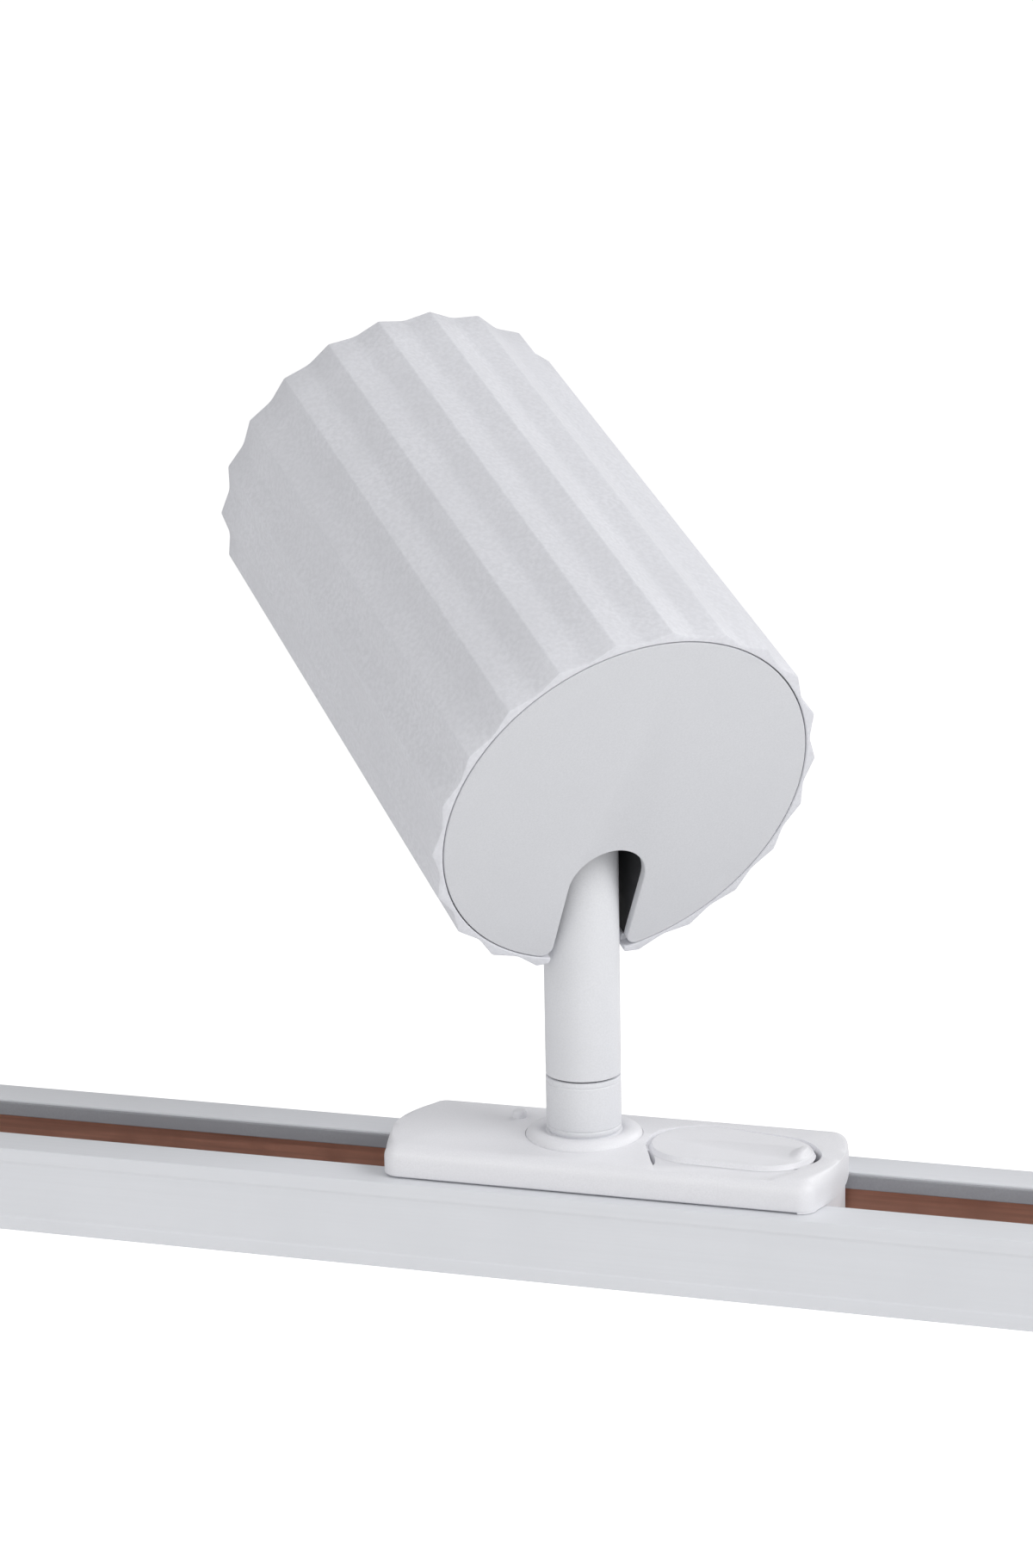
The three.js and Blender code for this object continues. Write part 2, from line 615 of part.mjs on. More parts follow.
// The cap's outline: a disc with the arm's slot cut up from its lower edge, both corners rounded.
function capOutline() {
  const { capRadius: R, slotHalfWidth: w, slotCorner: r, axisZ } = HEAD;
  const cornerY = w + r;
  const cornerZ = axisZ - Math.sqrt((R - r) ** 2 - cornerY ** 2);
  const lean = Math.atan2(cornerY, axisZ - cornerZ); // from straight down to the corner's centre
  const down = -Math.PI / 2;
  const outline = new THREE.Shape();
  outline.absarc(0, axisZ, R, down + lean, down - lean + 2 * Math.PI, false);
  outline.absarc(-cornerY, cornerZ, r, down - lean, 0, false);
  outline.absarc(0, 0, w, Math.PI, 0, true);
  outline.absarc(cornerY, cornerZ, r, Math.PI, down + lean + 2 * Math.PI, false);
  return outline;
}

// The clips on the cap's inner face that grip the housing's bore.
const CAP_CLIP = {
  angles: [-50, 0, 50], length: 6, halfWidth: 4, inner: INNER_RADIUS - 2.6, outer: INNER_RADIUS - 0.6,
};

function makeRearCap() {
  const { rear, capThickness, axisZ } = HEAD;
  const plate = alongX(capOutline(), rear, rear + capThickness, 16);
  const front = rear + capThickness;
  const { angles, length, halfWidth, inner, outer } = CAP_CLIP;
  const clips = angles.map((degrees) =>
    block(front - 0.5, front + length, -halfWidth, halfWidth, inner, outer)
      .rotateX(degToRad(degrees))
      .translate(0, 0, axisZ));
  return join(plate, ...clips);
}

// ---------------------------------------------------------------- head: tilt joint

const LINER = {
  inner: 7.5, wall: 1.1, leadSlot: 3, leadRoom: 2.4, rear: HEAD.rear + HEAD.capThickness + GAP,
};
const BRACKET = { ear: 9.6, thickness: 1.5, low: -9, high: 8, rear: -7, front: 28.5 };
const BRACKET_SCREW = { y: 5, radius: 1.4, headRadius: 2.8, headHeight: 1.8, hole: 1.7 };
const TILT_WASHER = { outer: 5, inner: 2.15, from: 8.9, to: 9.3 };
const PLATE = { rear: BRACKET.front + GAP, thickness: 2, hole: 1.6 };

// Seen along the tilt axis: straight down in front of the arm, round over the pivot, straight back above it.
function linerSection(radius, overrun = 0) {
  const section = new THREE.Shape();
  section.moveTo(LINER.rear - overrun, -30);
  section.lineTo(radius, -30);
  section.lineTo(radius, 0);
  section.absarc(0, 0, radius, 0, Math.PI / 2, false);
  section.lineTo(LINER.rear - overrun, radius);
  return section;
}

function makeSlotLiner() {
  const { inner, wall, leadSlot, leadRoom } = LINER;
  const outer = inner + wall;
  const filled = common(
    alongY(linerSection(outer), -outer, outer, 6),
    rodAlongX(INNER_RADIUS, LINER.rear - 1, 20, 48).translate(0, 0, HEAD.axisZ),
  );
  return cut(filled,
    alongY(linerSection(inner, 1), -inner, inner, 6),
    block(-leadRoom, outer + 1, -leadSlot, leadSlot, -leadRoom, outer + 1),
    rodAlongY(SCREW.radius + GAP, -outer - 1, outer + 1),
  );
}

function makeBracket() {
  const { ear, thickness, low, high, rear, front } = BRACKET;
  const outer = ear + thickness;
  const bar = block(rear, front, -outer, outer, low, high);
  const screwHole = rodAlongX(BRACKET_SCREW.hole, front - 5, front + 1);
  return cut(bar,
    block(rear - 1, front - thickness, -ear, ear, low - 1, high + 1),
    rodAlongY(SCREW.radius + 0.1, -outer - 1, outer + 1),
    screwHole.clone().translate(0, -BRACKET_SCREW.y, 0),
    screwHole.clone().translate(0, BRACKET_SCREW.y, 0),
  );
}

// A shoulder screw through one ear into the side of the arm. side is -1 or 1.
function makePivotScrew(side) {
  const seat = BRACKET.ear + BRACKET.thickness + GAP;
  const screw = join(
    rodAlongY(SCREW.radius, SCREW.tip, seat + 0.5),
    rodAlongY(SCREW.headRadius, seat, seat + SCREW.headHeight),
  );
  return side > 0 ? screw : screw.clone().rotateZ(Math.PI);
}

function makeTiltWasher(side) {
  const { outer, inner, from, to } = TILT_WASHER;
  const ring = cut(rodAlongY(outer, from, to), rodAlongY(inner, from - 1, to + 1));
  return side > 0 ? ring : ring.clone().rotateZ(Math.PI);
}

function makeBracketScrew(side) {
  const { y, radius, headRadius, headHeight } = BRACKET_SCREW;
  const inside = BRACKET.front - BRACKET.thickness - GAP;
  return join(
    rodAlongX(radius, inside - 0.5, PLATE.rear + PLATE.thickness + 1.5, 16),
    rodAlongX(headRadius, inside - headHeight, inside, 16),
  ).translate(0, side * y, 0);
}

// ---------------------------------------------------------------- head: driver, heat sink and light engine

const LED_LEAD = { y: 4, z: HEAD.axisZ + 11.5, radius: 0.7 };
const DRIVER = { rear: -6, front: 26, halfWidth: 17, bottom: 10.6, top: 34, wall: 1.2, floor: 13.2 };
const SINK = { finRear: 40, rear: 56, front: 61, finThickness: 1.6, finPitch: 8, finCount: 7 };
const STANDOFF = { y: 20, radius: 2.4 };

function makeMountingPlate() {
  const front = PLATE.rear + PLATE.thickness;
  const plate = rodAlongX(INNER_RADIUS, PLATE.rear, front, 40).translate(0, 0, HEAD.axisZ);
  const hole = (y, z) => rodAlongX(PLATE.hole, PLATE.rear - 1, front + 1, 12).translate(0, y, z);
  return cut(plate,
    hole(-BRACKET_SCREW.y, 0), hole(BRACKET_SCREW.y, 0),
    hole(-LED_LEAD.y, LED_LEAD.z), hole(LED_LEAD.y, LED_LEAD.z),
  );
}

function makeStandoff(side) {
  return rodAlongX(STANDOFF.radius, PLATE.rear + PLATE.thickness + GAP, SINK.rear - GAP, 16)
    .translate(0, side * STANDOFF.y, HEAD.axisZ);
}

function makeHeatSink() {
  const { finRear, rear, front, finThickness, finPitch, finCount } = SINK;
  const reach = HEAD.bore + 1;
  const base = block(rear, front, -reach, reach, -reach, reach);
  const fins = Array.from({ length: finCount }, (_, i) => {
    const y = (i - (finCount - 1) / 2) * finPitch;
    return block(finRear, rear + 0.5, y - finThickness / 2, y + finThickness / 2, -reach, reach);
  });
  const round = common(join(base, ...fins), rodAlongX(INNER_RADIUS, finRear - 1, front + 1, 40));
  const holes = [-1, 1].map((side) =>
    rodAlongX(1.3, rear - 1, front + 1, 12).translate(0, side * LED_LEAD.y, LED_LEAD.z - HEAD.axisZ));
  return cut(round, ...holes).translate(0, 0, HEAD.axisZ);
}

function makeDriverCase() {
  const { rear, front, halfWidth, bottom, top, wall } = DRIVER;
  return cut(
    block(rear, front, -halfWidth, halfWidth, bottom, top),
    block(rear - 1, front - wall, wall - halfWidth, halfWidth - wall, bottom + wall, top - wall),
  );
}

// The driver's board and the parts that stand on it.
const BOARD = { halfWidth: 15.2, margin: 2, thickness: 1.6 };
const BOARD_TOP = DRIVER.floor + BOARD.thickness + GAP;
const TRANSFORMER = { rear: 4, front: 16, halfWidth: 6.5, top: 27 };
const CAPACITOR = { x: 18, y: 11, radius: 3.8, top: 29 };
const DRIVER_LEAD = { x: 20, y: 1.6, bend: 7, end: [14, 3] };

const makeDriverBoard = () =>
  block(DRIVER.rear + BOARD.margin, DRIVER.front - BOARD.margin, -BOARD.halfWidth, BOARD.halfWidth,
    DRIVER.floor, DRIVER.floor + BOARD.thickness);

const makeTransformer = () =>
  block(TRANSFORMER.rear, TRANSFORMER.front, -TRANSFORMER.halfWidth, TRANSFORMER.halfWidth,
    BOARD_TOP, TRANSFORMER.top);

const makeCapacitor = () =>
  rod(CAPACITOR.radius, BOARD_TOP, CAPACITOR.top).translate(CAPACITOR.x, CAPACITOR.y, 0);

// Down from the driver case and back towards the pivot.
function makeDriverLead(side) {
  const { x, y, bend, end } = DRIVER_LEAD;
  return wire([
    [x, side * y, DRIVER.bottom - GAP], [x, side * y, bend],
    [x - 2, side * y, end[1] + 1], [end[0], side * y, end[1]],
  ], LEAD.radius, 10);
}

const ENGINE = {
  board: SINK.front + GAP, boardHalf: 9.5, boardThickness: 1.5,
  emitterRadius: 6.5, emitterHeight: 0.7, holderInner: 14.4, holderOuter: 17, holderHeight: 3.2,
  gasketInner: 28.6, gasketOuter: 30.2, gasketRear: 82.9, gasketThickness: 1,
  lensRear: 84.2, lensRadius: 30.4, lensThickness: 1.9,
};

function makeLedBoard() {
  const { board, boardHalf, boardThickness } = ENGINE;
  return block(board, board + boardThickness, -boardHalf, boardHalf, -boardHalf, boardHalf)
    .translate(0, 0, HEAD.axisZ);
}

function makeEmitter() {
  const rear = ENGINE.board + ENGINE.boardThickness + GAP;
  return rodAlongX(ENGINE.emitterRadius, rear, rear + ENGINE.emitterHeight, 32).translate(0, 0, HEAD.axisZ);
}

// A plain ring round the optical axis.
function ringInHead(inner, outer, rear, front) {
  return revolveInHead([[inner, rear], [outer, rear], [outer, front], [inner, front]]);
}

function makeHolder() {
  const { holderInner, holderOuter, holderHeight, board } = ENGINE;
  return ringInHead(holderInner, holderOuter, board, board + holderHeight);
}

function makeGasket() {
  const { gasketInner, gasketOuter, gasketRear, gasketThickness } = ENGINE;
  return ringInHead(gasketInner, gasketOuter, gasketRear, gasketRear + gasketThickness);
}

function makeReflector() {
  const throat = { x: 65, radius: 8 };
  const mouth = { x: 81.6, radius: 27.4 };
  const rim = { radius: 30.2, thickness: 1 };
  const skin = 0.9;
  const steps = 5;
  // A parabola whose axis is the optical axis.
  const bend = (mouth.x - throat.x) / (mouth.radius ** 2 - throat.radius ** 2);
  const cup = Array.from({ length: steps + 1 }, (_, i) => {
    const radius = throat.radius + ((mouth.radius - throat.radius) * i) / steps;
    return [radius, throat.x + bend * (radius ** 2 - throat.radius ** 2)];
  });
  const outside = cup.map(([radius, x]) => [radius + skin, x]);
  return revolveInHead([
    ...outside.slice(0, -1), [mouth.radius + skin + 0.2, mouth.x], [rim.radius, mouth.x],
    [rim.radius, mouth.x + rim.thickness], [mouth.radius, mouth.x + rim.thickness], ...cup.toReversed(),
  ]);
}

// The ring that holds the lens, flared towards the front.
const TRIM = { rear: 79, mouth: 30.2, lip: 28.4, setBack: 0.3, edge: 0.4 };

function makeTrim() {
  const seat = ENGINE.lensRadius + GAP;
  const flange = ENGINE.lensRear + ENGINE.lensThickness + GAP;
  const { rear, mouth, lip, setBack, edge } = TRIM;
  const front = HEAD_FRONT - setBack;
  return revolveInHead([
    [seat, rear], [INNER_RADIUS, rear], [INNER_RADIUS, front - edge], [INNER_RADIUS - edge, front],
    [mouth, front], [lip, flange], [seat, flange],
  ], 40);
}

function makeLens() {
  const { lensRear: rear, lensRadius: radius, lensThickness } = ENGINE;
  const front = rear + lensThickness;
  return revolveInHead([[0, rear], [radius, rear], [radius, front], [0, front]], 40);
}

const head = new THREE.Group();
head.position.set(0, 0, PIVOT_Z);
head.rotation.y = -HEAD_ELEVATION;
arm.add(head);

add(head, 'fluted_housing', makeHousing(), powderCoat());
add(head, 'rear_cap', makeRearCap(), powderCoat());
add(head, 'slot_liner', makeSlotLiner(), blackPlastic());
add(head, 'pivot_bracket', makeBracket(), steel());
for (const [name, side] of [['left', 1], ['right', -1]]) {
  add(head, `pivot_screw_${name}`, makePivotScrew(side), steel());
  add(head, `tilt_washer_${name}`, makeTiltWasher(side), brass());
  add(head, `bracket_screw_${name}`, makeBracketScrew(side), steel());
  add(head, `standoff_${name}`, makeStandoff(side), brass());
}
add(head, 'mounting_plate', makeMountingPlate(), steel());

add(head, 'driver_case', makeDriverCase(), whitePlastic());
add(head, 'driver_board', makeDriverBoard(), finish(0x2f6b45, 0.5));
add(head, 'driver_transformer', makeTransformer(), finish(0xc8a23c, 0.5));
add(head, 'driver_capacitor', makeCapacitor(), blackPlastic());

add(head, 'heat_sink', makeHeatSink(), bareAluminium());
add(head, 'led_board', makeLedBoard(), finish(0xe8e8e6, 0.5));
add(head, 'led_emitter', makeEmitter(), finish(0xe3c54a, 0.4));
add(head, 'led_holder', makeHolder(), blackPlastic());
for (const [name, side, colour] of [['near', -1, blueWire], ['far', 1, redWire]]) {
  const lead = rodAlongX(LED_LEAD.radius, DRIVER.front + GAP, ENGINE.board + 1, 12);
  add(head, `led_lead_${name}`, lead.translate(0, side * LED_LEAD.y, LED_LEAD.z), colour());
  add(head, `driver_lead_${name}`, makeDriverLead(side), colour());
}
add(head, 'reflector', makeReflector(), finish(0xd8d9da, 0.12, 1));
add(head, 'lens_gasket', makeGasket(), blackPlastic());
add(head, 'front_lens', makeLens(), finish(0xf2f5f7, 0.05));
add(head, 'front_trim', makeTrim(), blackPlastic());

export default fixture;
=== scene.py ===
import json
import math

import bmesh
import bpy
import numpy as np
from mathutils import Matrix, Vector


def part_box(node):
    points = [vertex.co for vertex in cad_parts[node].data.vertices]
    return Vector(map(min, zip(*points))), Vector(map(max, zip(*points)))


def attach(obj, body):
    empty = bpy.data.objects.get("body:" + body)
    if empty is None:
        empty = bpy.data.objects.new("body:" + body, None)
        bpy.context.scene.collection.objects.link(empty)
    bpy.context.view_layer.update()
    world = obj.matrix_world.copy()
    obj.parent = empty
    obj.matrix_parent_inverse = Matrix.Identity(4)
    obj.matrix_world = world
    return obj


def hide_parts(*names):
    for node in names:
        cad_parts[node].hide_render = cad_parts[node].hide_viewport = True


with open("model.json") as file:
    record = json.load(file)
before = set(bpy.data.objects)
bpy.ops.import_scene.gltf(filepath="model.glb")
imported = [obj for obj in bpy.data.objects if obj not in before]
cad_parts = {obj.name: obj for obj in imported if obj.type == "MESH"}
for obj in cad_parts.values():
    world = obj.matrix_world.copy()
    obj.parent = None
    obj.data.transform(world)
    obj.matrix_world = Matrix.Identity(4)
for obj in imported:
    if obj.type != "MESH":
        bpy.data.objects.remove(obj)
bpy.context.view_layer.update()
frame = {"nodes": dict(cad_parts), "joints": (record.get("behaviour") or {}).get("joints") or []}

# Lengths below are in millimetres, and pieces are scaled to metres when they are made.
MM = 0.001
GAP = 0.3  # the usual clearance between parts

# ---------------------------------------------------------------- places, from the frame

JOINTS = {joint["name"]: joint for joint in frame["joints"]}


def box_mm(node):
    low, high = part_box(node)
    return Vector(low) / MM, Vector(high) / MM


PIVOT = Vector(JOINTS["tilt"]["pos_m"]) / MM
TILT_AXIS = Vector(JOINTS["tilt"]["axis"]).normalized()
ELEVATION = math.radians(-JOINTS["tilt"]["range_deg"][0])  # the tilt joint's lower limit is the level head
LEVEL = Vector((0, 0, 1)).cross(TILT_AXIS)
FORWARD = LEVEL * math.cos(ELEVATION) + Vector((0, 0, 1)) * math.sin(ELEVATION)
UP = TILT_AXIS.cross(FORWARD)

# The head's own frame: X is the way the light shines, Z is up, and Y, to the left, is the tilt axis.
HEAD = Matrix.Translation(PIVOT) @ Matrix((FORWARD, -TILT_AXIS, UP)).transposed().to_4x4()
PLAIN = Matrix.Identity(4)

TRACK_LOW, TRACK_HIGH = box_mm("track_profile")
COVER_LOW, COVER_HIGH = box_mm("adapter_cover")
SEAM = JOINTS["pan"]["pos_m"][2] / MM
LEVER_PIVOT = Vector(JOINTS["lever_turn"]["pos_m"]) / MM

# The head's main sizes, in its own frame.
REAR = -10.9
FRONT = 90.7
AXIS_Z = 17.2
FLUTES = 22
RIDGE_RADIUS = 35.65
FLUTE_DEPTH = 0.95  # below the straight line between two ridges
FIRST_RIDGE = math.radians(89.4)
BORE = 32.2
CAP_RADIUS = 33.45
CAP_THICKNESS = 1.6
SLOT_HALF = 7.25
STEM_RADIUS = 6.64
NIPPLE_HOLE = 4.1  # radius of the way through cover, collar and sleeve

# ---------------------------------------------------------------- outlines


def rounded(points, radius, closed=True, steps=3):
    """The outline with each corner eased by a short curve that starts radius before it."""
    points = [np.array(p, float) for p in points]
    count = len(points)
    result = []
    for i, corner in enumerate(points):
        if not closed and i in (0, count - 1):
            result.append(corner)
            continue
        before, after = points[i - 1], points[(i + 1) % count]
        to_before, to_after = before - corner, after - corner
        reach_before = min(radius, 0.45 * np.linalg.norm(to_before))
        reach_after = min(radius, 0.45 * np.linalg.norm(to_after))
        start = corner + to_before / np.linalg.norm(to_before) * reach_before
        end = corner + to_after / np.linalg.norm(to_after) * reach_after
        for step in range(steps + 1):
            t = step / steps
            result.append((1 - t) ** 2 * start + 2 * t * (1 - t) * corner + t * t * end)
    return result


def inset(points, distance):
    """A closed anticlockwise outline moved inwards by distance, corner by corner."""
    points = np.array(points, float)
    ahead = np.roll(points, -1, axis=0) - points
    ahead /= np.linalg.norm(ahead, axis=1)[:, None]
    behind = np.roll(ahead, 1, axis=0)
    inward_ahead = np.stack([-ahead[:, 1], ahead[:, 0]], 1)
    inward_behind = np.stack([-behind[:, 1], behind[:, 0]], 1)
    middle = inward_ahead + inward_behind
    middle /= np.linalg.norm(middle, axis=1)[:, None]
    stretch = np.clip((middle * inward_ahead).sum(1), 0.35, 1)
    return points + middle * (distance / stretch)[:, None]


def arc(radius, start, end, steps, centre=(0, 0)):
    """Points on an arc, angles in degrees, both ends included."""
    angles = np.radians(np.linspace(start, end, steps + 1))
    return [(centre[0] + radius * math.cos(a), centre[1] + radius * math.sin(a)) for a in angles]


# ---------------------------------------------------------------- mesh building


def loft(mesh, loops, ring=False, caps=True):
    """Quads between closed loops of points. ring joins the last to the first; caps closes both ends."""
    rows = [[mesh.verts.new(p) for p in loop] for loop in loops]
    count = len(rows[0])
    pairs = list(zip(rows, rows[1:]))
    if ring:
        pairs.append((rows[-1], rows[0]))
    for low, high in pairs:
        for i in range(count):
            j = (i + 1) % count
            mesh.faces.new((low[i], low[j], high[j], high[i]))
    if caps and not ring:
        mesh.faces.new(rows[0][::-1])
        mesh.faces.new(rows[-1])
    return rows


def revolved(mesh, profile, segments=96):
    """A profile of (radius, height) turned about Z. One that keeps off the axis is closed into a ring."""
    on_axis = profile[0][0] < 1e-9 and profile[-1][0] < 1e-9
    rows = []
    for radius, height in profile:
        if radius < 1e-9:
            rows.append([mesh.verts.new((0, 0, height))])
            continue
        angles = [2 * math.pi * i / segments for i in range(segments)]
        rows.append([mesh.verts.new((radius * math.cos(a), radius * math.sin(a), height)) for a in angles])
    pairs = list(zip(rows, rows[1:]))
    if not on_axis:
        pairs.append((rows[-1], rows[0]))
    for low, high in pairs:
        for i in range(segments):
            j = (i + 1) % segments
            if len(low) == 1:
                mesh.faces.new((low[0], high[j], high[i]))
            elif len(high) == 1:
                mesh.faces.new((low[i], low[j], high[0]))
            else:
                mesh.faces.new((low[i], low[j], high[j], high[i]))


ALONG_X = Matrix(((0, 0, 1), (1, 0, 0), (0, 1, 0))).to_4x4()  # takes X, Y, Z of a drawing to Y, Z, X


def plate(mesh, outline, low, high, edge, steps=3):
    """An outline in XY given thickness along Z, with both of its rims rounded by edge."""
    loops = []
    for step in range(steps + 1):
        angle = math.pi / 2 * step / steps
        loops.append((inset(outline, edge * (1 - math.sin(angle))), low + edge * (1 - math.cos(angle))))
    for step in range(steps + 1):
        angle = math.pi / 2 * step / steps
        loops.append((inset(outline, edge * (1 - math.cos(angle))), high - edge * (1 - math.sin(angle))))
    loft(mesh, [[(x, y, z) for x, y in points] for points, z in loops])


def box_into(mesh, low, high):
    made = bmesh.ops.create_cube(mesh, size=1)["verts"]
    size = [b - a for a, b in zip(low, high)]
    centre = Vector([(a + b) / 2 for a, b in zip(low, high)])
    bmesh.ops.scale(mesh, vec=size, verts=made)
    bmesh.ops.translate(mesh, vec=centre, verts=made)


def mesh_object(name, mesh, matrix=PLAIN):
    """A Blender object from a bmesh drawn in millimetres, with its faces turned out."""
    bmesh.ops.recalc_face_normals(mesh, faces=mesh.faces)
    mesh.transform(Matrix.Scale(MM, 4) @ matrix)
    data = bpy.data.meshes.new(name)
    mesh.to_mesh(data)
    mesh.free()
    made = bpy.data.objects.new(name, data)
    bpy.context.scene.collection.objects.link(made)
    return made


def carved(body, *tools, operation="DIFFERENCE"):
    """The body after exact booleans with the tools, which are used up."""
    for tool in tools:
        modifier = body.modifiers.new("carve", "BOOLEAN")
        modifier.operation = operation
        modifier.solver = "EXACT"
        modifier.object = tool
        graph = bpy.context.evaluated_depsgraph_get()
        data = bpy.data.meshes.new_from_object(body.evaluated_get(graph))
        body.modifiers.clear()
        old = body.data
        body.data = data
        bpy.data.meshes.remove(old)
        bpy.data.objects.remove(tool)
    return body


def eased(body, width, chosen, angle=35, segments=2):
    """Rounds those sharp edges of the body whose middle, in metres, passes the test."""
    mesh = bmesh.new()
    mesh.from_mesh(body.data)
    bmesh.ops.remove_doubles(mesh, verts=mesh.verts, dist=0.01 * MM)
    bmesh.ops.dissolve_degenerate(mesh, edges=mesh.edges, dist=0.01 * MM)
    limit = math.radians(angle)
    edges = [e for e in mesh.edges if len(e.link_faces) == 2 and e.calc_face_angle(0) > limit
             and chosen((e.verts[0].co + e.verts[1].co) / 2)]
    bmesh.ops.bevel(mesh, geom=edges, offset=width * MM, segments=segments, affect="EDGES",
                    profile=0.5, clamp_overlap=True)
    mesh.to_mesh(body.data)
    mesh.free()
    return body


def shade(body, angle=32):
    """Smooth shading that stays crisp at edges sharper than the angle."""
    mesh = bmesh.new()
    mesh.from_mesh(body.data)
    limit = math.radians(angle)
    for face in mesh.faces:
        face.smooth = True
    for edge in mesh.edges:
        edge.smooth = len(edge.link_faces) == 2 and edge.calc_face_angle(0) <= limit
    mesh.to_mesh(body.data)
    mesh.free()
    return body


def piece(made, body, material, slot, *nodes, angle=32):
    """Finishes a piece: shading, material, the body it rides on and the CAD nodes it stands for."""
    shade(made, angle)
    made.data.materials.clear()
    made.data.materials.append(material)
    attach(made, body)
    if nodes:
        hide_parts(*nodes)
    return made


# ---------------------------------------------------------------- materials


class Nodes:
    """A material under construction. Every noise reads the object's own coordinates, in metres."""

    def __init__(self, name, roughness, metallic=0.0, specular=0.5):
        self.material = bpy.data.materials.new(name)
        self.material.use_nodes = True
        self.tree = self.material.node_tree
        self.tree.nodes.clear()
        self.shader = self.add("ShaderNodeBsdfPrincipled")
        self.shader.inputs["Metallic"].default_value = metallic
        self.shader.inputs["Roughness"].default_value = roughness
        self.shader.inputs["Specular IOR Level"].default_value = specular
        output = self.add("ShaderNodeOutputMaterial")
        self.link(self.shader.outputs["BSDF"], output.inputs["Surface"])
        self.coordinates = self.add("ShaderNodeTexCoord").outputs["Object"]

    def add(self, kind):
        return self.tree.nodes.new(kind)

    def link(self, a, b):
        self.tree.links.new(a, b)

    def noise(self, size_mm, detail=2.0, stretch=(1, 1, 1)):
        """Noise with features of about size_mm, drawn out along an axis where stretch is above 1."""
        mapping = self.add("ShaderNodeMapping")
        mapping.inputs["Scale"].default_value = [1 / s for s in stretch]
        self.link(self.coordinates, mapping.inputs["Vector"])
        noise = self.add("ShaderNodeTexNoise")
        noise.inputs["Scale"].default_value = 1 / (size_mm * MM)
        noise.inputs["Detail"].default_value = detail
        self.link(mapping.outputs["Vector"], noise.inputs["Vector"])
        return noise.outputs["Fac"]

    def ramp(self, value, low, high, to_low=0.0, to_high=1.0):
        """Value from low..high taken to to_low..to_high, held beyond."""
        node = self.add("ShaderNodeMapRange")
        node.inputs["From Min"].default_value = low
        node.inputs["From Max"].default_value = high
        node.inputs["To Min"].default_value = to_low
        node.inputs["To Max"].default_value = to_high
        self.link(value, node.inputs["Value"])
        return node.outputs["Result"]

    def mix(self, factor, a, b):
        """Colour a to colour b; each is a colour or a socket."""
        node = self.add("ShaderNodeMix")
        node.data_type = "RGBA"
        self.link(factor, node.inputs["Factor"])
        for value, place in ((a, "A"), (b, "B")):
            socket = next(s for s in node.inputs if s.name == place and s.type == "RGBA")
            if isinstance(value, tuple):
                socket.default_value = (*value, 1)
            else:
                self.link(value, socket)
        return next(s for s in node.outputs if s.type == "RGBA")

    def edges(self, low=0.52, high=0.58):
        """Near 1 on worn outer edges, 0 elsewhere."""
        return self.ramp(self.add("ShaderNodeNewGeometry").outputs["Pointiness"], low, high)

    def colour(self, socket):
        self.link(socket, self.shader.inputs["Base Color"])

    def roughness(self, socket):
        self.link(socket, self.shader.inputs["Roughness"])

    def bump(self, *layers):
        """Layers are (height socket, height in mm)."""
        below = None
        for height, depth in layers:
            node = self.add("ShaderNodeBump")
            node.inputs["Strength"].default_value = 1.0
            node.inputs["Distance"].default_value = depth * MM
            self.link(height, node.inputs["Height"])
            if below is not None:
                self.link(below, node.inputs["Normal"])
            below = node.outputs["Normal"]
        self.link(below, self.shader.inputs["Normal"])


def tint(colour, factor):
    return tuple(min(1.0, c * factor) for c in colour)


def coated(name, colour, roughness, grain_mm, grain_depth, cloud=0.02, speck=0.955):
    """Painted or moulded surface: fine grain, soft clouds of tone and paler, rubbed edges."""
    n = Nodes(name, roughness)
    clouds = n.mix(n.ramp(n.noise(14, 3), 0.35, 0.65), tint(colour, 1 - cloud), tint(colour, 1 + cloud))
    grain = n.noise(grain_mm, 2)
    speckled = n.mix(n.ramp(grain, 0.35, 0.65), tint(colour, speck), clouds)
    n.colour(n.mix(n.ramp(n.edges(), 0, 1, 0, 0.35), speckled, tint(colour, 1.05)))
    n.roughness(n.ramp(n.noise(3, 2), 0.3, 0.7, roughness - 0.05, roughness + 0.06))
    n.bump((grain, grain_depth), (n.noise(grain_mm * 0.35, 1), grain_depth * 0.4))
    return n.material


def extruded_coat(name, colour, roughness):
    """Coated aluminium profile: the coat follows faint die lines that run along X."""
    n = Nodes(name, roughness)
    lines = n.noise(0.7, 2, stretch=(160, 1, 1))
    grain = n.noise(0.35, 2)
    clouds = n.mix(n.ramp(n.noise(18, 2), 0.35, 0.65), tint(colour, 0.985), tint(colour, 1.015))
    streaked = n.mix(n.ramp(lines, 0.4, 0.75, 0, 0.5), clouds, tint(colour, 0.96))
    n.colour(n.mix(n.ramp(n.edges(), 0, 1, 0, 0.3), streaked, tint(colour, 1.04)))
    n.roughness(n.ramp(lines, 0.3, 0.7, roughness - 0.04, roughness + 0.05))
    n.bump((lines, 0.004), (grain, 0.006))
    return n.material


def metal(name, colour, roughness, stretch=(1, 1, 1), tarnish=0.8, size_mm=0.5):
    """Bare metal with fine drawn or turned marks and patches of tarnish."""
    n = Nodes(name, roughness, metallic=1.0)
    marks = n.noise(size_mm, 3, stretch=stretch)
    patches = n.ramp(n.noise(9, 4), 0.45, 0.7)
    marked = n.mix(n.ramp(marks, 0.35, 0.65), tint(colour, 0.88), tint(colour, 1.08))
    n.colour(n.mix(patches, marked, tint(colour, tarnish)))
    n.roughness(n.ramp(marks, 0.3, 0.7, roughness - 0.06, roughness + 0.12))
    n.bump((marks, 0.004))
    return n.material


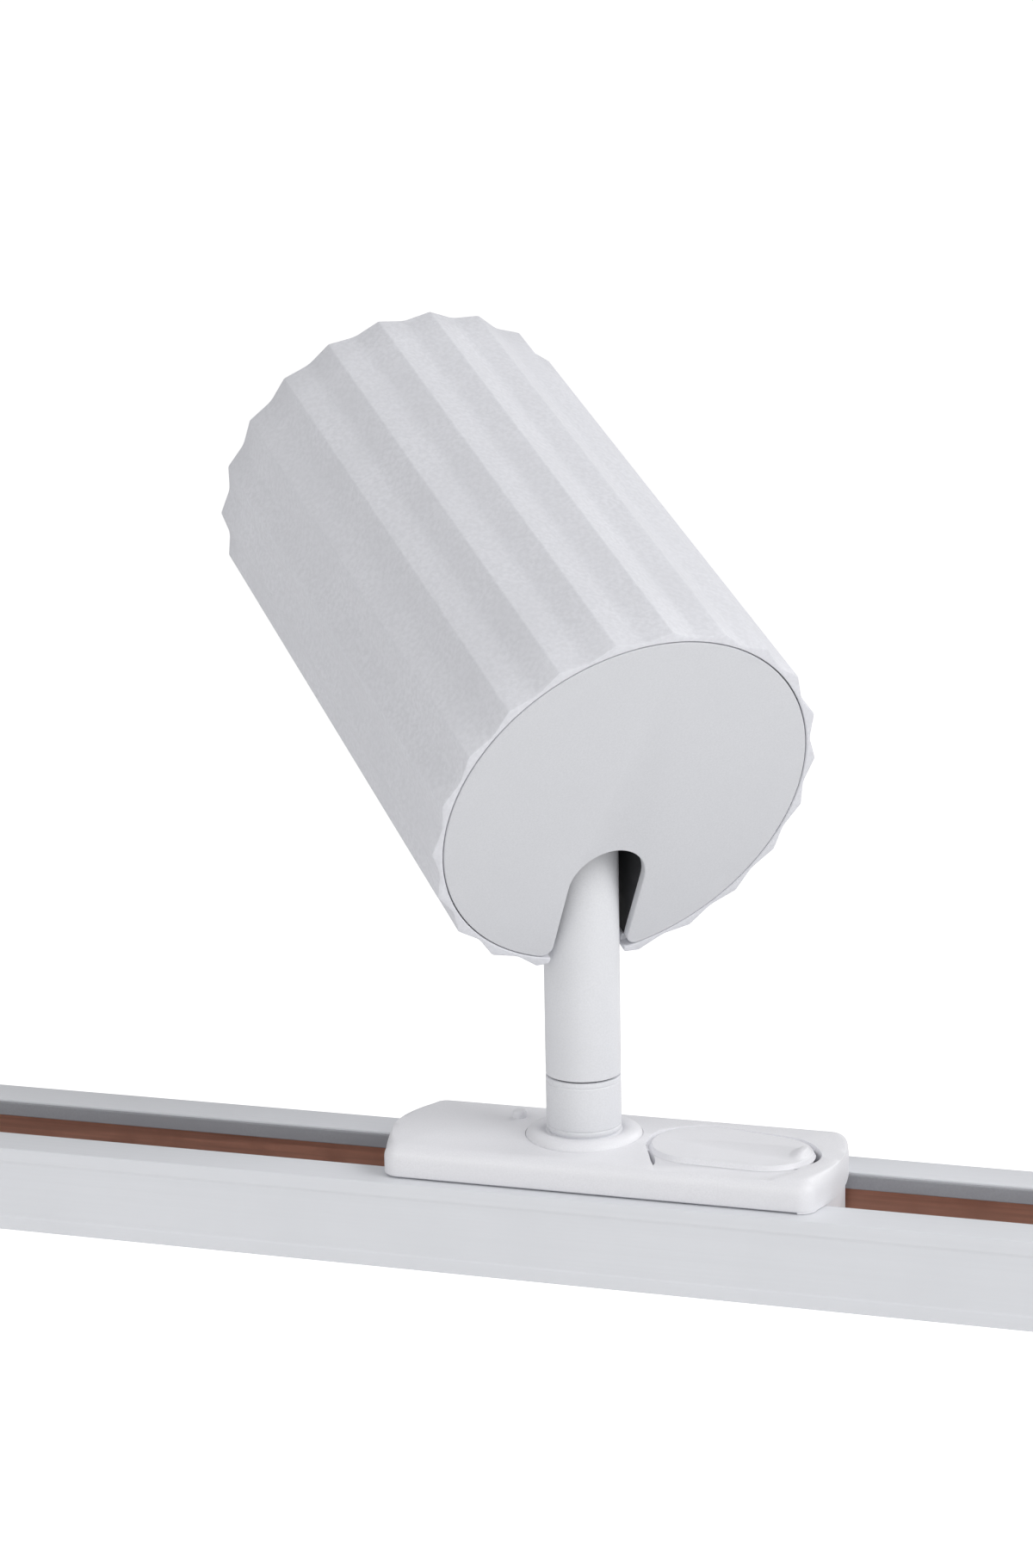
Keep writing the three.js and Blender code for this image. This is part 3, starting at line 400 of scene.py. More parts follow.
POWDER = coated("powder_coat", (0.725, 0.73, 0.77), 0.6, 0.75, 0.03, speck=0.93)
# The housing's white powder coat made darker for the rear cap: painted shade, because the cap faces down
# and away from the key light.
CAP_COAT_PAINTED_SHADE = coated("cap_coat_painted_shade", (0.65, 0.657, 0.685), 0.55, 0.3, 0.006, cloud=0.008)
# The same white powder coat made lighter for the arm and sleeve: painted light, where the stem catches the
# key light.
ARM_COAT_PAINTED_LIGHT = coated("arm_coat_painted_light", (0.755, 0.762, 0.79), 0.45, 0.3, 0.004, cloud=0.01)
WHITE = coated("white_plastic", (0.83, 0.83, 0.86), 0.42, 0.25, 0.003, cloud=0.012)
TRACK_COAT = extruded_coat("track_coat", (0.73, 0.742, 0.775), 0.45)
PVC = coated("grey_pvc", (0.325, 0.33, 0.355), 0.6, 0.3, 0.004, cloud=0.05)
BLACK = coated("black_plastic", (0.022, 0.023, 0.026), 0.6, 0.35, 0.008, cloud=0.1)
RUBBER = coated("gasket_rubber", (0.04, 0.04, 0.04), 0.75, 0.5, 0.01, cloud=0.1)
BLUE = coated("wire_blue", (0.04, 0.1, 0.33), 0.45, 0.4, 0.003, cloud=0.05)
RED = coated("wire_red", (0.42, 0.03, 0.02), 0.45, 0.4, 0.003, cloud=0.05)
BOARD = coated("circuit_board", (0.03, 0.2, 0.08), 0.4, 0.6, 0.004, cloud=0.06)
WINDING = coated("winding", (0.6, 0.38, 0.06), 0.5, 0.5, 0.02, cloud=0.08)
LED_BOARD = coated("led_board_white", (0.78, 0.78, 0.76), 0.4, 0.4, 0.003)
PHOSPHOR = coated("led_phosphor", (0.85, 0.6, 0.08), 0.35, 0.3, 0.008, cloud=0.04)
COPPER = metal("copper", (0.58, 0.295, 0.21), 0.4, stretch=(60, 1, 1), tarnish=0.85)
BRASS = metal("brass", (0.72, 0.52, 0.22), 0.35)
STEEL = metal("steel", (0.6, 0.61, 0.62), 0.35, stretch=(1, 1, 8))
ALUMINIUM = metal("bare_aluminium", (0.7, 0.71, 0.72), 0.42, stretch=(1, 1, 30))
MIRROR = metal("reflector_finish", (0.86, 0.865, 0.87), 0.16, tarnish=0.96, size_mm=1.4)


def make_lens_material():
    n = Nodes("clear_lens", 0.04)
    dust = n.ramp(n.noise(0.8, 4), 0.55, 0.75)
    n.colour(n.mix(dust, (0.9, 0.93, 0.94), (0.75, 0.77, 0.78)))
    n.roughness(n.ramp(n.noise(4, 2), 0.3, 0.7, 0.03, 0.07))
    n.shader.inputs["Coat Weight"].default_value = 1.0
    n.shader.inputs["Coat Roughness"].default_value = 0.03
    fresnel = n.add("ShaderNodeFresnel")
    fresnel.inputs["IOR"].default_value = 1.5
    n.link(n.ramp(fresnel.outputs["Fac"], 0, 1, 0.1, 1.0), n.shader.inputs["Alpha"])
    n.bump((n.noise(6, 1), 0.002))
    return n.material


LENS = make_lens_material()

# ---------------------------------------------------------------- camera

CAMERA_PLACE = Vector((154.97, -504.53, 196.36))
CAMERA_TURN = math.radians(18.246)  # from looking along +Y towards -X
CAMERA_DIP = math.radians(11.912)
CAMERA_ROLL = math.radians(-1.089)
LENS_LENGTH = 71.81


def make_camera():
    data = bpy.data.cameras.new("camera")
    data.lens = LENS_LENGTH
    data.sensor_width = 36
    data.clip_start, data.clip_end = 0.01, 20
    camera = bpy.data.objects.new("camera", data)
    bpy.context.scene.collection.objects.link(camera)
    ahead = Vector((-math.sin(CAMERA_TURN) * math.cos(CAMERA_DIP),
                    math.cos(CAMERA_TURN) * math.cos(CAMERA_DIP), -math.sin(CAMERA_DIP)))
    level = Vector((math.cos(CAMERA_TURN), math.sin(CAMERA_TURN), 0))
    above = level.cross(ahead)
    right = level * math.cos(CAMERA_ROLL) + above * math.sin(CAMERA_ROLL)
    up = above * math.cos(CAMERA_ROLL) - level * math.sin(CAMERA_ROLL)
    turn = Matrix((right, up, -ahead)).transposed().to_4x4()
    camera.matrix_world = Matrix.Translation(CAMERA_PLACE * MM) @ turn
    bpy.context.scene.camera = camera


make_camera()

# ---------------------------------------------------------------- track


SCREW_HOLES_X = (-115, 85)
SCREW_HOLE_RADIUS, SINK_RADIUS = 2.2, 4.2


def mirrored(points):
    return [(-y, z) for y, z in reversed(points)]


def make_track():
    half, height = TRACK_HIGH.y, TRACK_HIGH.z
    channel, web, wall, lip, rib, rib_top, lip_edge = 8.23, 1.5, 1.3, 1.3, 1.2, 6.0, 9.05
    margin, dent = 2.5, 0.3
    right = [
        (channel, web), (channel, rib_top), (channel + rib, rib_top), (channel + rib, web),
        (half - wall, web), (half - wall, height - lip), (lip_edge, height - lip),
        (lip_edge, height), (half, height),
        (half, height - margin), (half - dent, height - margin - dent), (half - dent, margin + dent),
        (half, margin), (half, 0),
    ]
    section = rounded(list(reversed(right)) + list(reversed(mirrored(right))), 0.35)
    mesh = bmesh.new()
    edge = 0.12
    loops = [(inset(section, edge), TRACK_LOW.x), (section, TRACK_LOW.x + edge),
             (section, TRACK_HIGH.x - edge), (inset(section, edge), TRACK_HIGH.x)]
    loft(mesh, [[(x, y, z) for y, z in points] for points, x in loops])
    made = mesh_object("track_shell", mesh)
    holes = []
    for x in SCREW_HOLES_X:
        hole = bmesh.new()
        screw = [(0, -1), (SCREW_HOLE_RADIUS, -1), (SCREW_HOLE_RADIUS, 1), (SINK_RADIUS, 3), (0, 3)]
        revolved(hole, screw, 40)
        holes.append(mesh_object("hole", hole, Matrix.Translation((x, 0, 0))))
    piece(carved(made, *holes), "track", TRACK_COAT, "track_coat", "track_profile")


def bar_along_x(name, section, x0, x1, edge, body, material, slot, node, steps=2):
    """A bar with a (y, z) section, its long edges and its ends rounded."""
    mesh = bmesh.new()
    plate(mesh, rounded(section, edge, steps=3), x0, x1, edge * 0.8, steps)
    return piece(mesh_object(name, mesh, ALONG_X), body, material, slot, node)


def make_track_fillings():
    for side, name in ((-1, "near"), (1, "far")):
        low, high = box_mm(f"conductor_{name}")
        strip = [(low.y, low.z), (high.y, low.z), (high.y, high.z), (low.y, high.z)]
        bar_along_x(f"copper_strip_{name}", strip, low.x, high.x, 0.15, "track", COPPER, "copper",
                    f"conductor_{name}")
        low, high = box_mm(f"insulator_{name}")
        face, back = sorted((abs(low.y), abs(high.y)))
        front, seat, tongue_back, lip_base = face + 1.5, 11.4, face + 0.7, 14.1
        seat_low, seat_high = 7.7, 12.8
        section = [(front, low.z), (back, low.z), (back, lip_base), (tongue_back, lip_base),
                   (tongue_back, high.z), (face, high.z), (face, seat_high), (seat, seat_high),
                   (seat, seat_low), (front, seat_low)]
        section = section if side > 0 else mirrored(section)
        bar_along_x(f"pvc_channel_{name}", section, low.x, high.x, 0.25, "track", PVC, "grey_pvc",
                    f"insulator_{name}")


def make_end_caps():
    """Moulded caps: a plate over the profile's end, and a plug in its channel."""
    plug_half, plug_low, plug_reach, plug_root = 7.93, 1.8, 7, 0.6
    for name in ("left", "right"):
        low, high = box_mm(f"end_cap_{name}")
        outward = -1 if name == "left" else 1
        outer = low.x if outward < 0 else high.x
        inner = TRACK_LOW.x if outward < 0 else TRACK_HIGH.x
        half, height = high.y, high.z
        mesh = bmesh.new()
        section = rounded([(-half, 0), (half, 0), (half, height), (-half, height)], 0.8)
        plate(mesh, section, min(outer, inner), max(outer, inner), 0.5)
        mesh.transform(ALONG_X)
        made = mesh_object(f"track_cap_{name}", mesh)
        plug_mesh = bmesh.new()
        plug_high = height - 0.1
        plug = rounded([(-plug_half, plug_low), (plug_half, plug_low),
                        (plug_half, plug_high), (-plug_half, plug_high)], 0.6)
        inside, root = inner - outward * plug_reach, inner + outward * plug_root
        plate(plug_mesh, plug, min(inside, root), max(inside, root), 0.4)
        plug_mesh.transform(ALONG_X)
        made = carved(made, mesh_object("plug", plug_mesh), operation="UNION")
        piece(made, "track", WHITE, "white_plastic", f"end_cap_{name}")


# ---------------------------------------------------------------- adapter

SHOULDER = 18.9  # where the cover's upright sides end
EDGE_TOP = 21.5
CROWN_TOP = 22.0
CORNER = 3.2
END_BULGE = 1.9
END_FULLNESS = 2.5  # how much less the edge is rounded at the middle of an end than along a side
CEILING = 18.1  # of the hollow under the cover
COLLAR_SEAT = 20.9


def cover_plan():
    """The cover from above, anticlockwise: straight sides, round corners, slightly bowed ends."""
    left, right, half = COVER_LOW.x, COVER_HIGH.x, COVER_HIGH.y
    flat = half - CORNER

    def bowed(y):
        return END_BULGE * (1 - (y / flat) ** 2)

    side = np.linspace(left + END_BULGE + CORNER, right - END_BULGE - CORNER, 30)
    end = np.linspace(-flat, flat, 17)
    points = [(x, -half) for x in side[:-1]]
    points += arc(CORNER, -90, -9, 8, (right - END_BULGE - CORNER, -flat))[:-1]
    points += [(right - END_BULGE + bowed(y), y) for y in end]
    points += arc(CORNER, 9, 90, 8, (right - END_BULGE - CORNER, flat))[1:]
    points += [(x, half) for x in side[::-1][1:-1]]
    points += arc(CORNER, 90, 171, 8, (left + END_BULGE + CORNER, flat))[:-1]
    points += [(left + END_BULGE - bowed(y), y) for y in end[::-1]]
    points += arc(CORNER, 189, 270, 8, (left + END_BULGE + CORNER, -flat))[1:-1]
    return np.array(points)


LAND = 21.03  # the height of the land that the lever lies on
LEVER_TOP = 21.95
ROOT, TIP = 9.4, 8.4  # the radii of the lever's two round ends
TIP_CENTRE = (11.7, -1.6)  # from the lever's pivot
SPAN = math.hypot(*TIP_CENTRE)
BEARING = math.degrees(math.atan2(TIP_CENTRE[1], TIP_CENTRE[0]))
TANGENT = math.degrees(math.acos((ROOT - TIP) / SPAN))  # from the bearing to where the straight edges start
LEVER_TURN = 65
CLEARANCE = 0.6
SLIT_FLOOR = 18.7


def about_pivot(points):
    return [(x + LEVER_PIVOT.x, y) for x, y in points]


def on_circle(centre, radius, degrees):
    angle = math.radians(degrees)
    return np.array((centre[0] + radius * math.cos(angle), centre[1] + radius * math.sin(angle)))


def land_wall():
    """The two ends of the land's left wall, which the lever's edge meets when it is turned right out."""
    bearing = BEARING - LEVER_TURN
    edge = bearing - TANGENT
    tip = on_circle((0, 0), SPAN, bearing)
    return on_circle((0, 0), ROOT + CLEARANCE, edge), on_circle(tip, TIP + CLEARANCE, edge)


def lever_land():
    """The land under the lever: open to the near side, with a left wall along the lever's open position."""
    top, foot = land_wall()
    outline = [tuple(top + (foot - top) * 1.4)]
    outline += arc(ROOT + CLEARANCE, BEARING - LEVER_TURN - TANGENT + 360, BEARING + TANGENT, 24)
    outline += arc(TIP + CLEARANCE, BEARING + TANGENT, BEARING, 16, TIP_CENTRE)
    outline += arc(SPAN + TIP + CLEARANCE, BEARING, -60, 20)[1:]
    return about_pivot(outline[::-1])


def root_slit(width):
    """A slot along the land's left wall, narrowed to a point at both ends."""
    top, foot = land_wall()
    inset_in_wall = np.array((-0.12, 0))
    steps = 16
    left = [top + (foot - top) * (-0.02 + 0.74 * i / steps) + inset_in_wall for i in range(steps + 1)]
    swell = [width * math.sin(math.pi * i / steps) ** 0.5 for i in range(1, steps)]
    right = [(x + w, y) for (x, y), w in zip(left[1:-1], swell)]
    return about_pivot([tuple(p) for p in left] + right[::-1])


def tip_slit(width, start, end):
    """A slot round the lever's tip that narrows to nothing at both ends."""
    steps = 24
    outer, inner = [], []
    for i in range(steps + 1):
        t = i / steps
        angle = start + (end - start) * t
        inner.append(tuple(on_circle(TIP_CENTRE, TIP - 0.3, angle)))
        swell = width * math.sin(math.pi * t ** 0.7) ** 0.7
        outer.append(tuple(on_circle(TIP_CENTRE, TIP - 0.3 + swell, angle)))
    return about_pivot(outer[1:-1] + inner[::-1])


def drum(radius, low, high, x=0.0, y=0.0, segments=48):
    mesh = bmesh.new()
    revolved(mesh, [(0, low), (radius, low), (radius, high), (0, high)], segments)
    return mesh_object("tool", mesh, Matrix.Translation((x, y, 0)))


def prism(outline, low, high):
    mesh = bmesh.new()
    loft(mesh, [[(x, y, z) for x, y in outline] for z in (low, high)])
    return mesh_object("tool", mesh)


def block(low, high):
    mesh = bmesh.new()
    box_into(mesh, low, high)
    return mesh_object("tool", mesh)


def fuller_ends(ring, amount):
    """The cover's edge is rounded less at its two ends than along its sides, most at their middle."""
    middle, reach, half = ring[:, 0].mean(), np.ptp(ring[:, 0]) / 2, ring[:, 1].max()
    at_end = np.abs(ring[:, 0] - middle) > reach - CORNER
    bow = amount * at_end * (1 - (ring[:, 1] / half) ** 2)
    return np.stack([ring[:, 0] + np.sign(ring[:, 0] - middle) * bow, ring[:, 1]], 1)


def cover_shell(plan, base):
    """The cover's outside: upright sides, a rounded edge and a top that rises slightly to its middle."""
    fillet = EDGE_TOP - SHOULDER
    loops = [(inset(plan, 0.25), base), (plan, base + 0.25)]
    for step in range(9):
        angle = math.pi / 2 * step / 8
        ring = inset(plan, fillet * (1 - math.cos(angle)))
        ring = fuller_ends(ring, END_FULLNESS * (1 - math.cos(angle)))
        loops.append((ring, SHOULDER + fillet * math.sin(angle)))
    rim = loops[-1][0]
    spine_half = (COVER_HIGH.x - COVER_LOW.x) / 2 - 14
    middle = (COVER_HIGH.x + COVER_LOW.x) / 2
    spine = np.stack([np.clip(rim[:, 0], middle - spine_half, middle + spine_half), 0 * rim[:, 1]], 1)
    for s in (0.9, 0.75, 0.6, 0.45, 0.3, 0.15, 0.0):
        loops.append((spine + (rim - spine) * s, EDGE_TOP + (CROWN_TOP - EDGE_TOP) * (1 - s * s)))
    mesh = bmesh.new()
    rows = loft(mesh, [[(x, y, z) for x, y in points] for points, z in loops], caps=False)
    mesh.faces.new(rows[0][::-1])
    bmesh.ops.remove_doubles(mesh, verts=rows[-1], dist=0.001)
    return mesh_object("adapter_shell", mesh)


def make_cover():
    """The cover: hollow below, with the lever's land and slits, the collar's seat and two round holes."""
    plan, low, high = cover_plan(), COVER_LOW, COVER_HIGH
    base, above = low.z, 25
    wall, left_wall, right_wall = 2.6, 3.1, 4.2
    made = cover_shell(plan, base)

    # The lever's end stands on a low foot, which almost closes the gap over the track.
    foot = [(max(x, high.x - CORNER - 1.6), y) for x, y in inset(plan, 0.1)]
    made = carved(made, prism(list(dict.fromkeys(foot)), base - 0.2, base + 1), operation="UNION")
    made = carved(
        made,
        block((low.x + left_wall, low.y + wall, base - 1), (high.x - right_wall, high.y - wall, CEILING)),
        prism(lever_land(), LAND, above),
        prism(root_slit(1.15), SLIT_FLOOR, above),
        prism(tip_slit(1.7, -46, 42), SLIT_FLOOR, above),
        drum(10.43, COLLAR_SEAT, above, segments=96),
        drum(NIPPLE_HOLE, 10, 30),
        drum(4.3, 10, 30, LEVER_PIVOT.x),
    )

    def at_lever(point):
        return point.z > 20.8 * MM and 11 * MM < point.x < 44.5 * MM

    eased(made, 0.2, at_lever, angle=25)
    piece(made, "adapter", WHITE, "white_plastic", "adapter_cover")


def make_insert():
    """The moulded body under the cover: a box in the channel and a flange that fills the cover's hollow."""
    low, high = box_mm("adapter_insert")
    half, wall = 8, 1.6
    flange_left, flange_right, flange_half, flange_top = -31.6, 42.2, 11.9, 17.4
    base = COVER_LOW.z
    mesh = bmesh.new()
    outline = rounded([(low.x, -half), (high.x, -half), (high.x, half), (low.x, half)], 1.2, steps=4)
    plate(mesh, outline, low.z, base + 0.05, 0.4)
    made = mesh_object("adapter_body", mesh)
    flange = block((flange_left, -flange_half, base), (flange_right, flange_half, flange_top))
    made = carved(made, flange, operation="UNION")
    made = carved(
        made,
        block((low.x + wall, -half + wall, low.z + wall), (high.x - wall, half - wall, 20)),
        block((LEVER_PIVOT.x - 8, -10, 7.8), (LEVER_PIVOT.x + 8, 10, 11.2)),  # windows for the blades
    )
    piece(made, "adapter", WHITE, "white_plastic", "adapter_insert")


SLEEVE_FOOT = 22.7


def make_collar():
    """A low ring with a rounded crown round the foot of the stem."""
    mesh = bmesh.new()
    radius, crown, belly, swell = 10.4, 23.1, 21.6, 2.1
    profile = [(NIPPLE_HOLE, COLLAR_SEAT), (radius, COLLAR_SEAT)]
    profile += [(radius - swell + swell * math.cos(a), belly + (crown - belly) * math.sin(a))
                for a in np.radians(range(0, 136, 9))]
    profile += [(6.75, SLEEVE_FOOT), (NIPPLE_HOLE, SLEEVE_FOOT)]
    revolved(mesh, profile, 128)
    piece(mesh_object("collar", mesh), "adapter", WHITE, "white_plastic", "stem_collar", angle=50)


def make_sleeve():
    """The fixed lower part of the stem: a line near each end, and in its top the stop pin's groove."""
    mesh = bmesh.new()
    foot, top = SLEEVE_FOOT, SEAM - GAP / 2
    r = STEM_RADIUS
    profile = [(NIPPLE_HOLE, foot), (r - 0.3, foot), (r - 0.3, foot + 0.25), (r, foot + 0.45),
               (r, foot + 1.1), (r - 0.15, foot + 1.25), (r, foot + 1.4),
               (r, top - 1.1), (r - 0.12, top - 0.95), (r, top - 0.8), (r, top), (NIPPLE_HOLE, top)]
    revolved(mesh, rounded(profile, 0.18), 128)
    groove = bmesh.new()
    pan = math.degrees(math.atan2(LEVEL.y, LEVEL.x))
    half_web, groove_outer, groove_inner, depth = 2.6, 5.95, 4.65, 1.4
    start, end = pan + 180 + half_web, pan + 540 - half_web
    ring = arc(groove_outer, start, end, 90) + arc(groove_inner, end, start, 90)
    loft(groove, [[(x, y, z) for x, y in ring] for z in (top - depth, top + 1)])
    made = carved(mesh_object("lower_sleeve", mesh), mesh_object("tool", groove))
    piece(made, "adapter", ARM_COAT_PAINTED_LIGHT, "powder_coat", "stem_sleeve")


def make_peg():
    mesh = bmesh.new()
    low, high = box_mm("locating_peg")
    centre, radius, sunk = (low + high) / 2, 1.25, 0.5
    profile = [(0, low.z - sunk), (radius, low.z - sunk), (radius, high.z), (0, high.z)]
    revolved(mesh, rounded(profile, 0.6, closed=False, steps=6), 40)
    made = mesh_object("peg", mesh, Matrix.Translation((centre.x, centre.y, 0)))
    piece(made, "adapter", WHITE, "white_plastic", "locating_peg")


def make_arm():
    """The turning part of the stem: a tube with a domed top, and a screw hole on each side of the pivot."""
    foot = SEAM + GAP / 2
    r = STEM_RADIUS
    foot_bore, bore, shoulder, exit_radius = 4.15, 5.4, 38.5, 2.5
    profile = [(foot_bore, foot), (r - 0.25, foot), (r - 0.07, foot + 0.07), (r, foot + 0.25)]
    profile += [(r * math.cos(a), PIVOT.z + r * math.sin(a)) for a in np.radians(np.linspace(0, 66, 12))]
    profile += [(exit_radius, PIVOT.z + 5.9), (exit_radius, 65), (bore, 62), (bore, shoulder),
                (foot_bore, shoulder)]
    mesh = bmesh.new()
    revolved(mesh, profile, 128)
    screw_radius = 2.08
    screw_holes = []
    for side in (-1, 1):
        tool = bmesh.new()
        revolved(tool, [(0, 3.2), (screw_radius, 3.2), (screw_radius, 10), (0, 10)], 32)
        turn = Matrix((LEVEL, Vector((0, 0, side)), TILT_AXIS * side)).transposed().to_4x4()
        screw_holes.append(mesh_object("tool", tool, Matrix.Translation(PIVOT) @ turn))
    made = carved(mesh_object("arm", mesh), *screw_holes)
    piece(made, "arm", ARM_COAT_PAINTED_LIGHT, "powder_coat", "arm_tube")


# ---------------------------------------------------------------- lock lever


def make_lever():
    """A thin tongue with sloped sides, and at its tip a nub that rises in a gentle ramp."""
    high = box_mm("lock_lever")[1]
    far, near = BEARING + TANGENT, BEARING - TANGENT
    outline = arc(ROOT, far, near + 360, 44) + arc(TIP, near, far, 32, TIP_CENTRE)
    sole = LAND + 0.03
    loops = []
    steps = 16
    for step in range(steps + 1):
        t = step / steps
        rise = (1 - math.cos(math.pi * t)) / 2
        loops.append((inset(outline, 0.6 * t - 0.1), sole + (LEVER_TOP - sole) * rise))
    loops.append((inset(outline, 0.8), LEVER_TOP))
    place = Matrix.Translation((LEVER_PIVOT.x, 0, 0))
    mesh = bmesh.new()
    loft(mesh, [[(x, y, z) for x, y in points] for points, z in loops])
    made = mesh_object("lever_plate", mesh, place)
    nub = bmesh.new()
    ramp = []
    root, steps = LEVER_TOP - 0.05, 12
    for step in range(steps + 1):
        t = step / steps
        wide, long = 2.1 * (1 - 0.85 * t), 3.9 * (1 - 0.7 * t)
        middle = TIP_CENTRE[0] + TIP - 2.6 + 0.9 * t
        height = root + (high.z - root) * (1 - math.cos(math.pi * t)) / 2
        ramp.append([(middle + x * wide, TIP_CENTRE[1] + y * long, height)
                     for x, y in arc(1, 0, 352.5, 47)])
    loft(nub, ramp)
    made = carved(made, mesh_object("tool", nub, place), operation="UNION")
    piece(made, "lever", WHITE, "white_plastic", "lock_lever", angle=16)


# ---------------------------------------------------------------- head


def flute_outline():
    """The fluted section, anticlockwise, as (y, z) about the axis: V grooves, ridges and floors eased."""
    pitch = 2 * math.pi / FLUTES
    shares = (0.0, 0.012, 0.03, 0.22, 0.40, 0.435, 0.465, 0.5, 0.535, 0.565, 0.60, 0.78, 0.97, 0.988)
    ridge_ease, floor_half, ridge_half = 0.05, 0.1, 0.03
    points = []
    for flute in range(FLUTES):
        start = FIRST_RIDGE + flute * pitch
        a = RIDGE_RADIUS * np.array((math.cos(start), math.sin(start)))
        b = RIDGE_RADIUS * np.array((math.cos(start + pitch), math.sin(start + pitch)))
        out = np.array((math.cos(start + pitch / 2), math.sin(start + pitch / 2)))
        for t in shares:
            from_floor, from_ridge = abs(t - 0.5), min(t, 1 - t)
            sink = 2 * FLUTE_DEPTH * from_ridge
            if from_floor < floor_half:
                sink -= FLUTE_DEPTH * (floor_half - from_floor) ** 2 / floor_half
            if from_ridge < ridge_half:
                sink += ridge_ease * (1 - from_ridge / ridge_half) ** 2
            points.append(a + (b - a) * t - out * sink)
    return np.array(points)


def slot_tool():
    """The arm's way through the wall: a slot round at its front, flared towards the outer surface."""
    flare, flare_from = 1.2, -15.9
    levels = [(-30, 3.0), (-19.2, 3.0), (-17.8, 1.9)]  # heights, and how much wider the slot is there
    levels += [(flare_from - flare * math.sin(a), flare * (1 - math.cos(a)))
               for a in np.radians((75, 60, 45, 30, 15, 0))]
    levels += [(0, 0)]
    mesh = bmesh.new()
    loops = []
    for z, extra in levels:
        w = SLOT_HALF + extra
        outline = [(REAR - 5, -w)] + arc(w, -90, 90, 24) + [(REAR - 5, w)]
        loops.append([(x, y, z) for x, y in outline])
    loft(mesh, loops)
    return mesh_object("tool", mesh, HEAD)


def make_housing():
    """The fluted tube: each loop round the outside has a partner of as many points round the bore."""
    flutes = flute_outline()
    around = np.arctan2(flutes[:, 1], flutes[:, 0])
    ring = np.stack([np.cos(around), np.sin(around)], 1)
    unit = flutes / np.linalg.norm(flutes, axis=1)[:, None]
    outer = [(REAR, 0.3), (REAR + 0.1, 0.1), (REAR + 0.35, 0.0)]
    outer += [(x, 0.0) for x in np.linspace(REAR + 12, FRONT - 8, 8)]
    outer += [(FRONT - 0.35, 0.0), (FRONT - 0.1, 0.1), (FRONT, 0.3)]
    loops = [[(x, *p) for p in flutes - unit * drop] for x, drop in outer]
    seat, step = CAP_RADIUS + 0.2, REAR + CAP_THICKNESS + GAP
    inner = [(BORE + 0.25, FRONT), (BORE, FRONT - 0.25), (BORE, step), (seat, step),
             (seat, REAR + 0.15), (seat + 0.15, REAR)]
    loops += [[(x, *(ring[i] * r)) for i in range(len(ring))] for r, x in inner]
    mesh = bmesh.new()
    loft(mesh, loops, ring=True)
    made = mesh_object("housing_shell", mesh, HEAD @ Matrix.Translation((0, 0, AXIS_Z)))
    made = carved(made, slot_tool())
    to_head = HEAD.inverted() @ Matrix.Scale(1 / MM, 4)

    def at_slot(point):
        p = to_head @ point
        near_slot = abs(p.y) < 10.5 and REAR - 1 < p.x < 10.5 and -16.5 < p.z < 0
        return near_slot and (abs(p.y) < 7.6 or p.x > -0.5)

    eased(made, 0.2, at_slot, angle=40)
    piece(made, "head", POWDER, "powder_coat", "fluted_housing", angle=28)


def cap_outline():
    """A disc with the arm's slot cut up from its lower edge, both corners rounded. Drawn as (y, z)."""
    corner = 1.9
    y = SLOT_HALF + corner
    z = AXIS_Z - math.sqrt((CAP_RADIUS - corner) ** 2 - y * y)
    lean = math.degrees(math.atan2(y, AXIS_Z - z))
    outline = arc(CAP_RADIUS, -90 + lean, 270 - lean, 150, (0, AXIS_Z))
    outline += arc(corner, -90 - lean, 0, 10, (-y, z))[1:]
    outline += arc(SLOT_HALF, 180, 0, 36)
    outline += arc(corner, 180, 270 + lean, 10, (y, z))[:-1]
    return outline


def make_cap():
    """The cap's plate, with three clips on its inner side that hold it in the bore."""
    mesh = bmesh.new()
    inner_face = REAR + CAP_THICKNESS
    plate(mesh, cap_outline(), REAR, inner_face, 0.22)
    made = mesh_object("cap_plate", mesh, HEAD @ ALONG_X)
    clips = []
    for turn in (-50, 0, 50):
        clip = bmesh.new()
        box_into(clip, (inner_face - 0.5, -4, 29.3), (inner_face + 6, 4, 31.3))
        place = HEAD @ Matrix.Translation((0, 0, AXIS_Z)) @ Matrix.Rotation(math.radians(turn), 4, "X")
        clips.append(mesh_object("tool", clip, place))
    made = carved(made, *clips, operation="UNION")
    piece(made, "head", CAP_COAT_PAINTED_SHADE, "powder_coat", "rear_cap")


ON_AXIS = HEAD @ Matrix.Translation((0, 0, AXIS_Z)) @ ALONG_X  # lays what is turned about Z along the light


def box_profile(inner, outer, rear, front, edge):
    """A rectangle to be turned. Its corners are eased, apart from those on the axis."""
    corners = [(inner, rear), (outer, rear), (outer, front), (inner, front)]
    return rounded(corners, edge, closed=inner > 0)


def turned(name, profile, material, slot, *nodes, segments=128, angle=32):
    mesh = bmesh.new()
    revolved(mesh, profile, segments)
    return piece(mesh_object(name, mesh, ON_AXIS), "head", material, slot, *nodes, angle=angle)


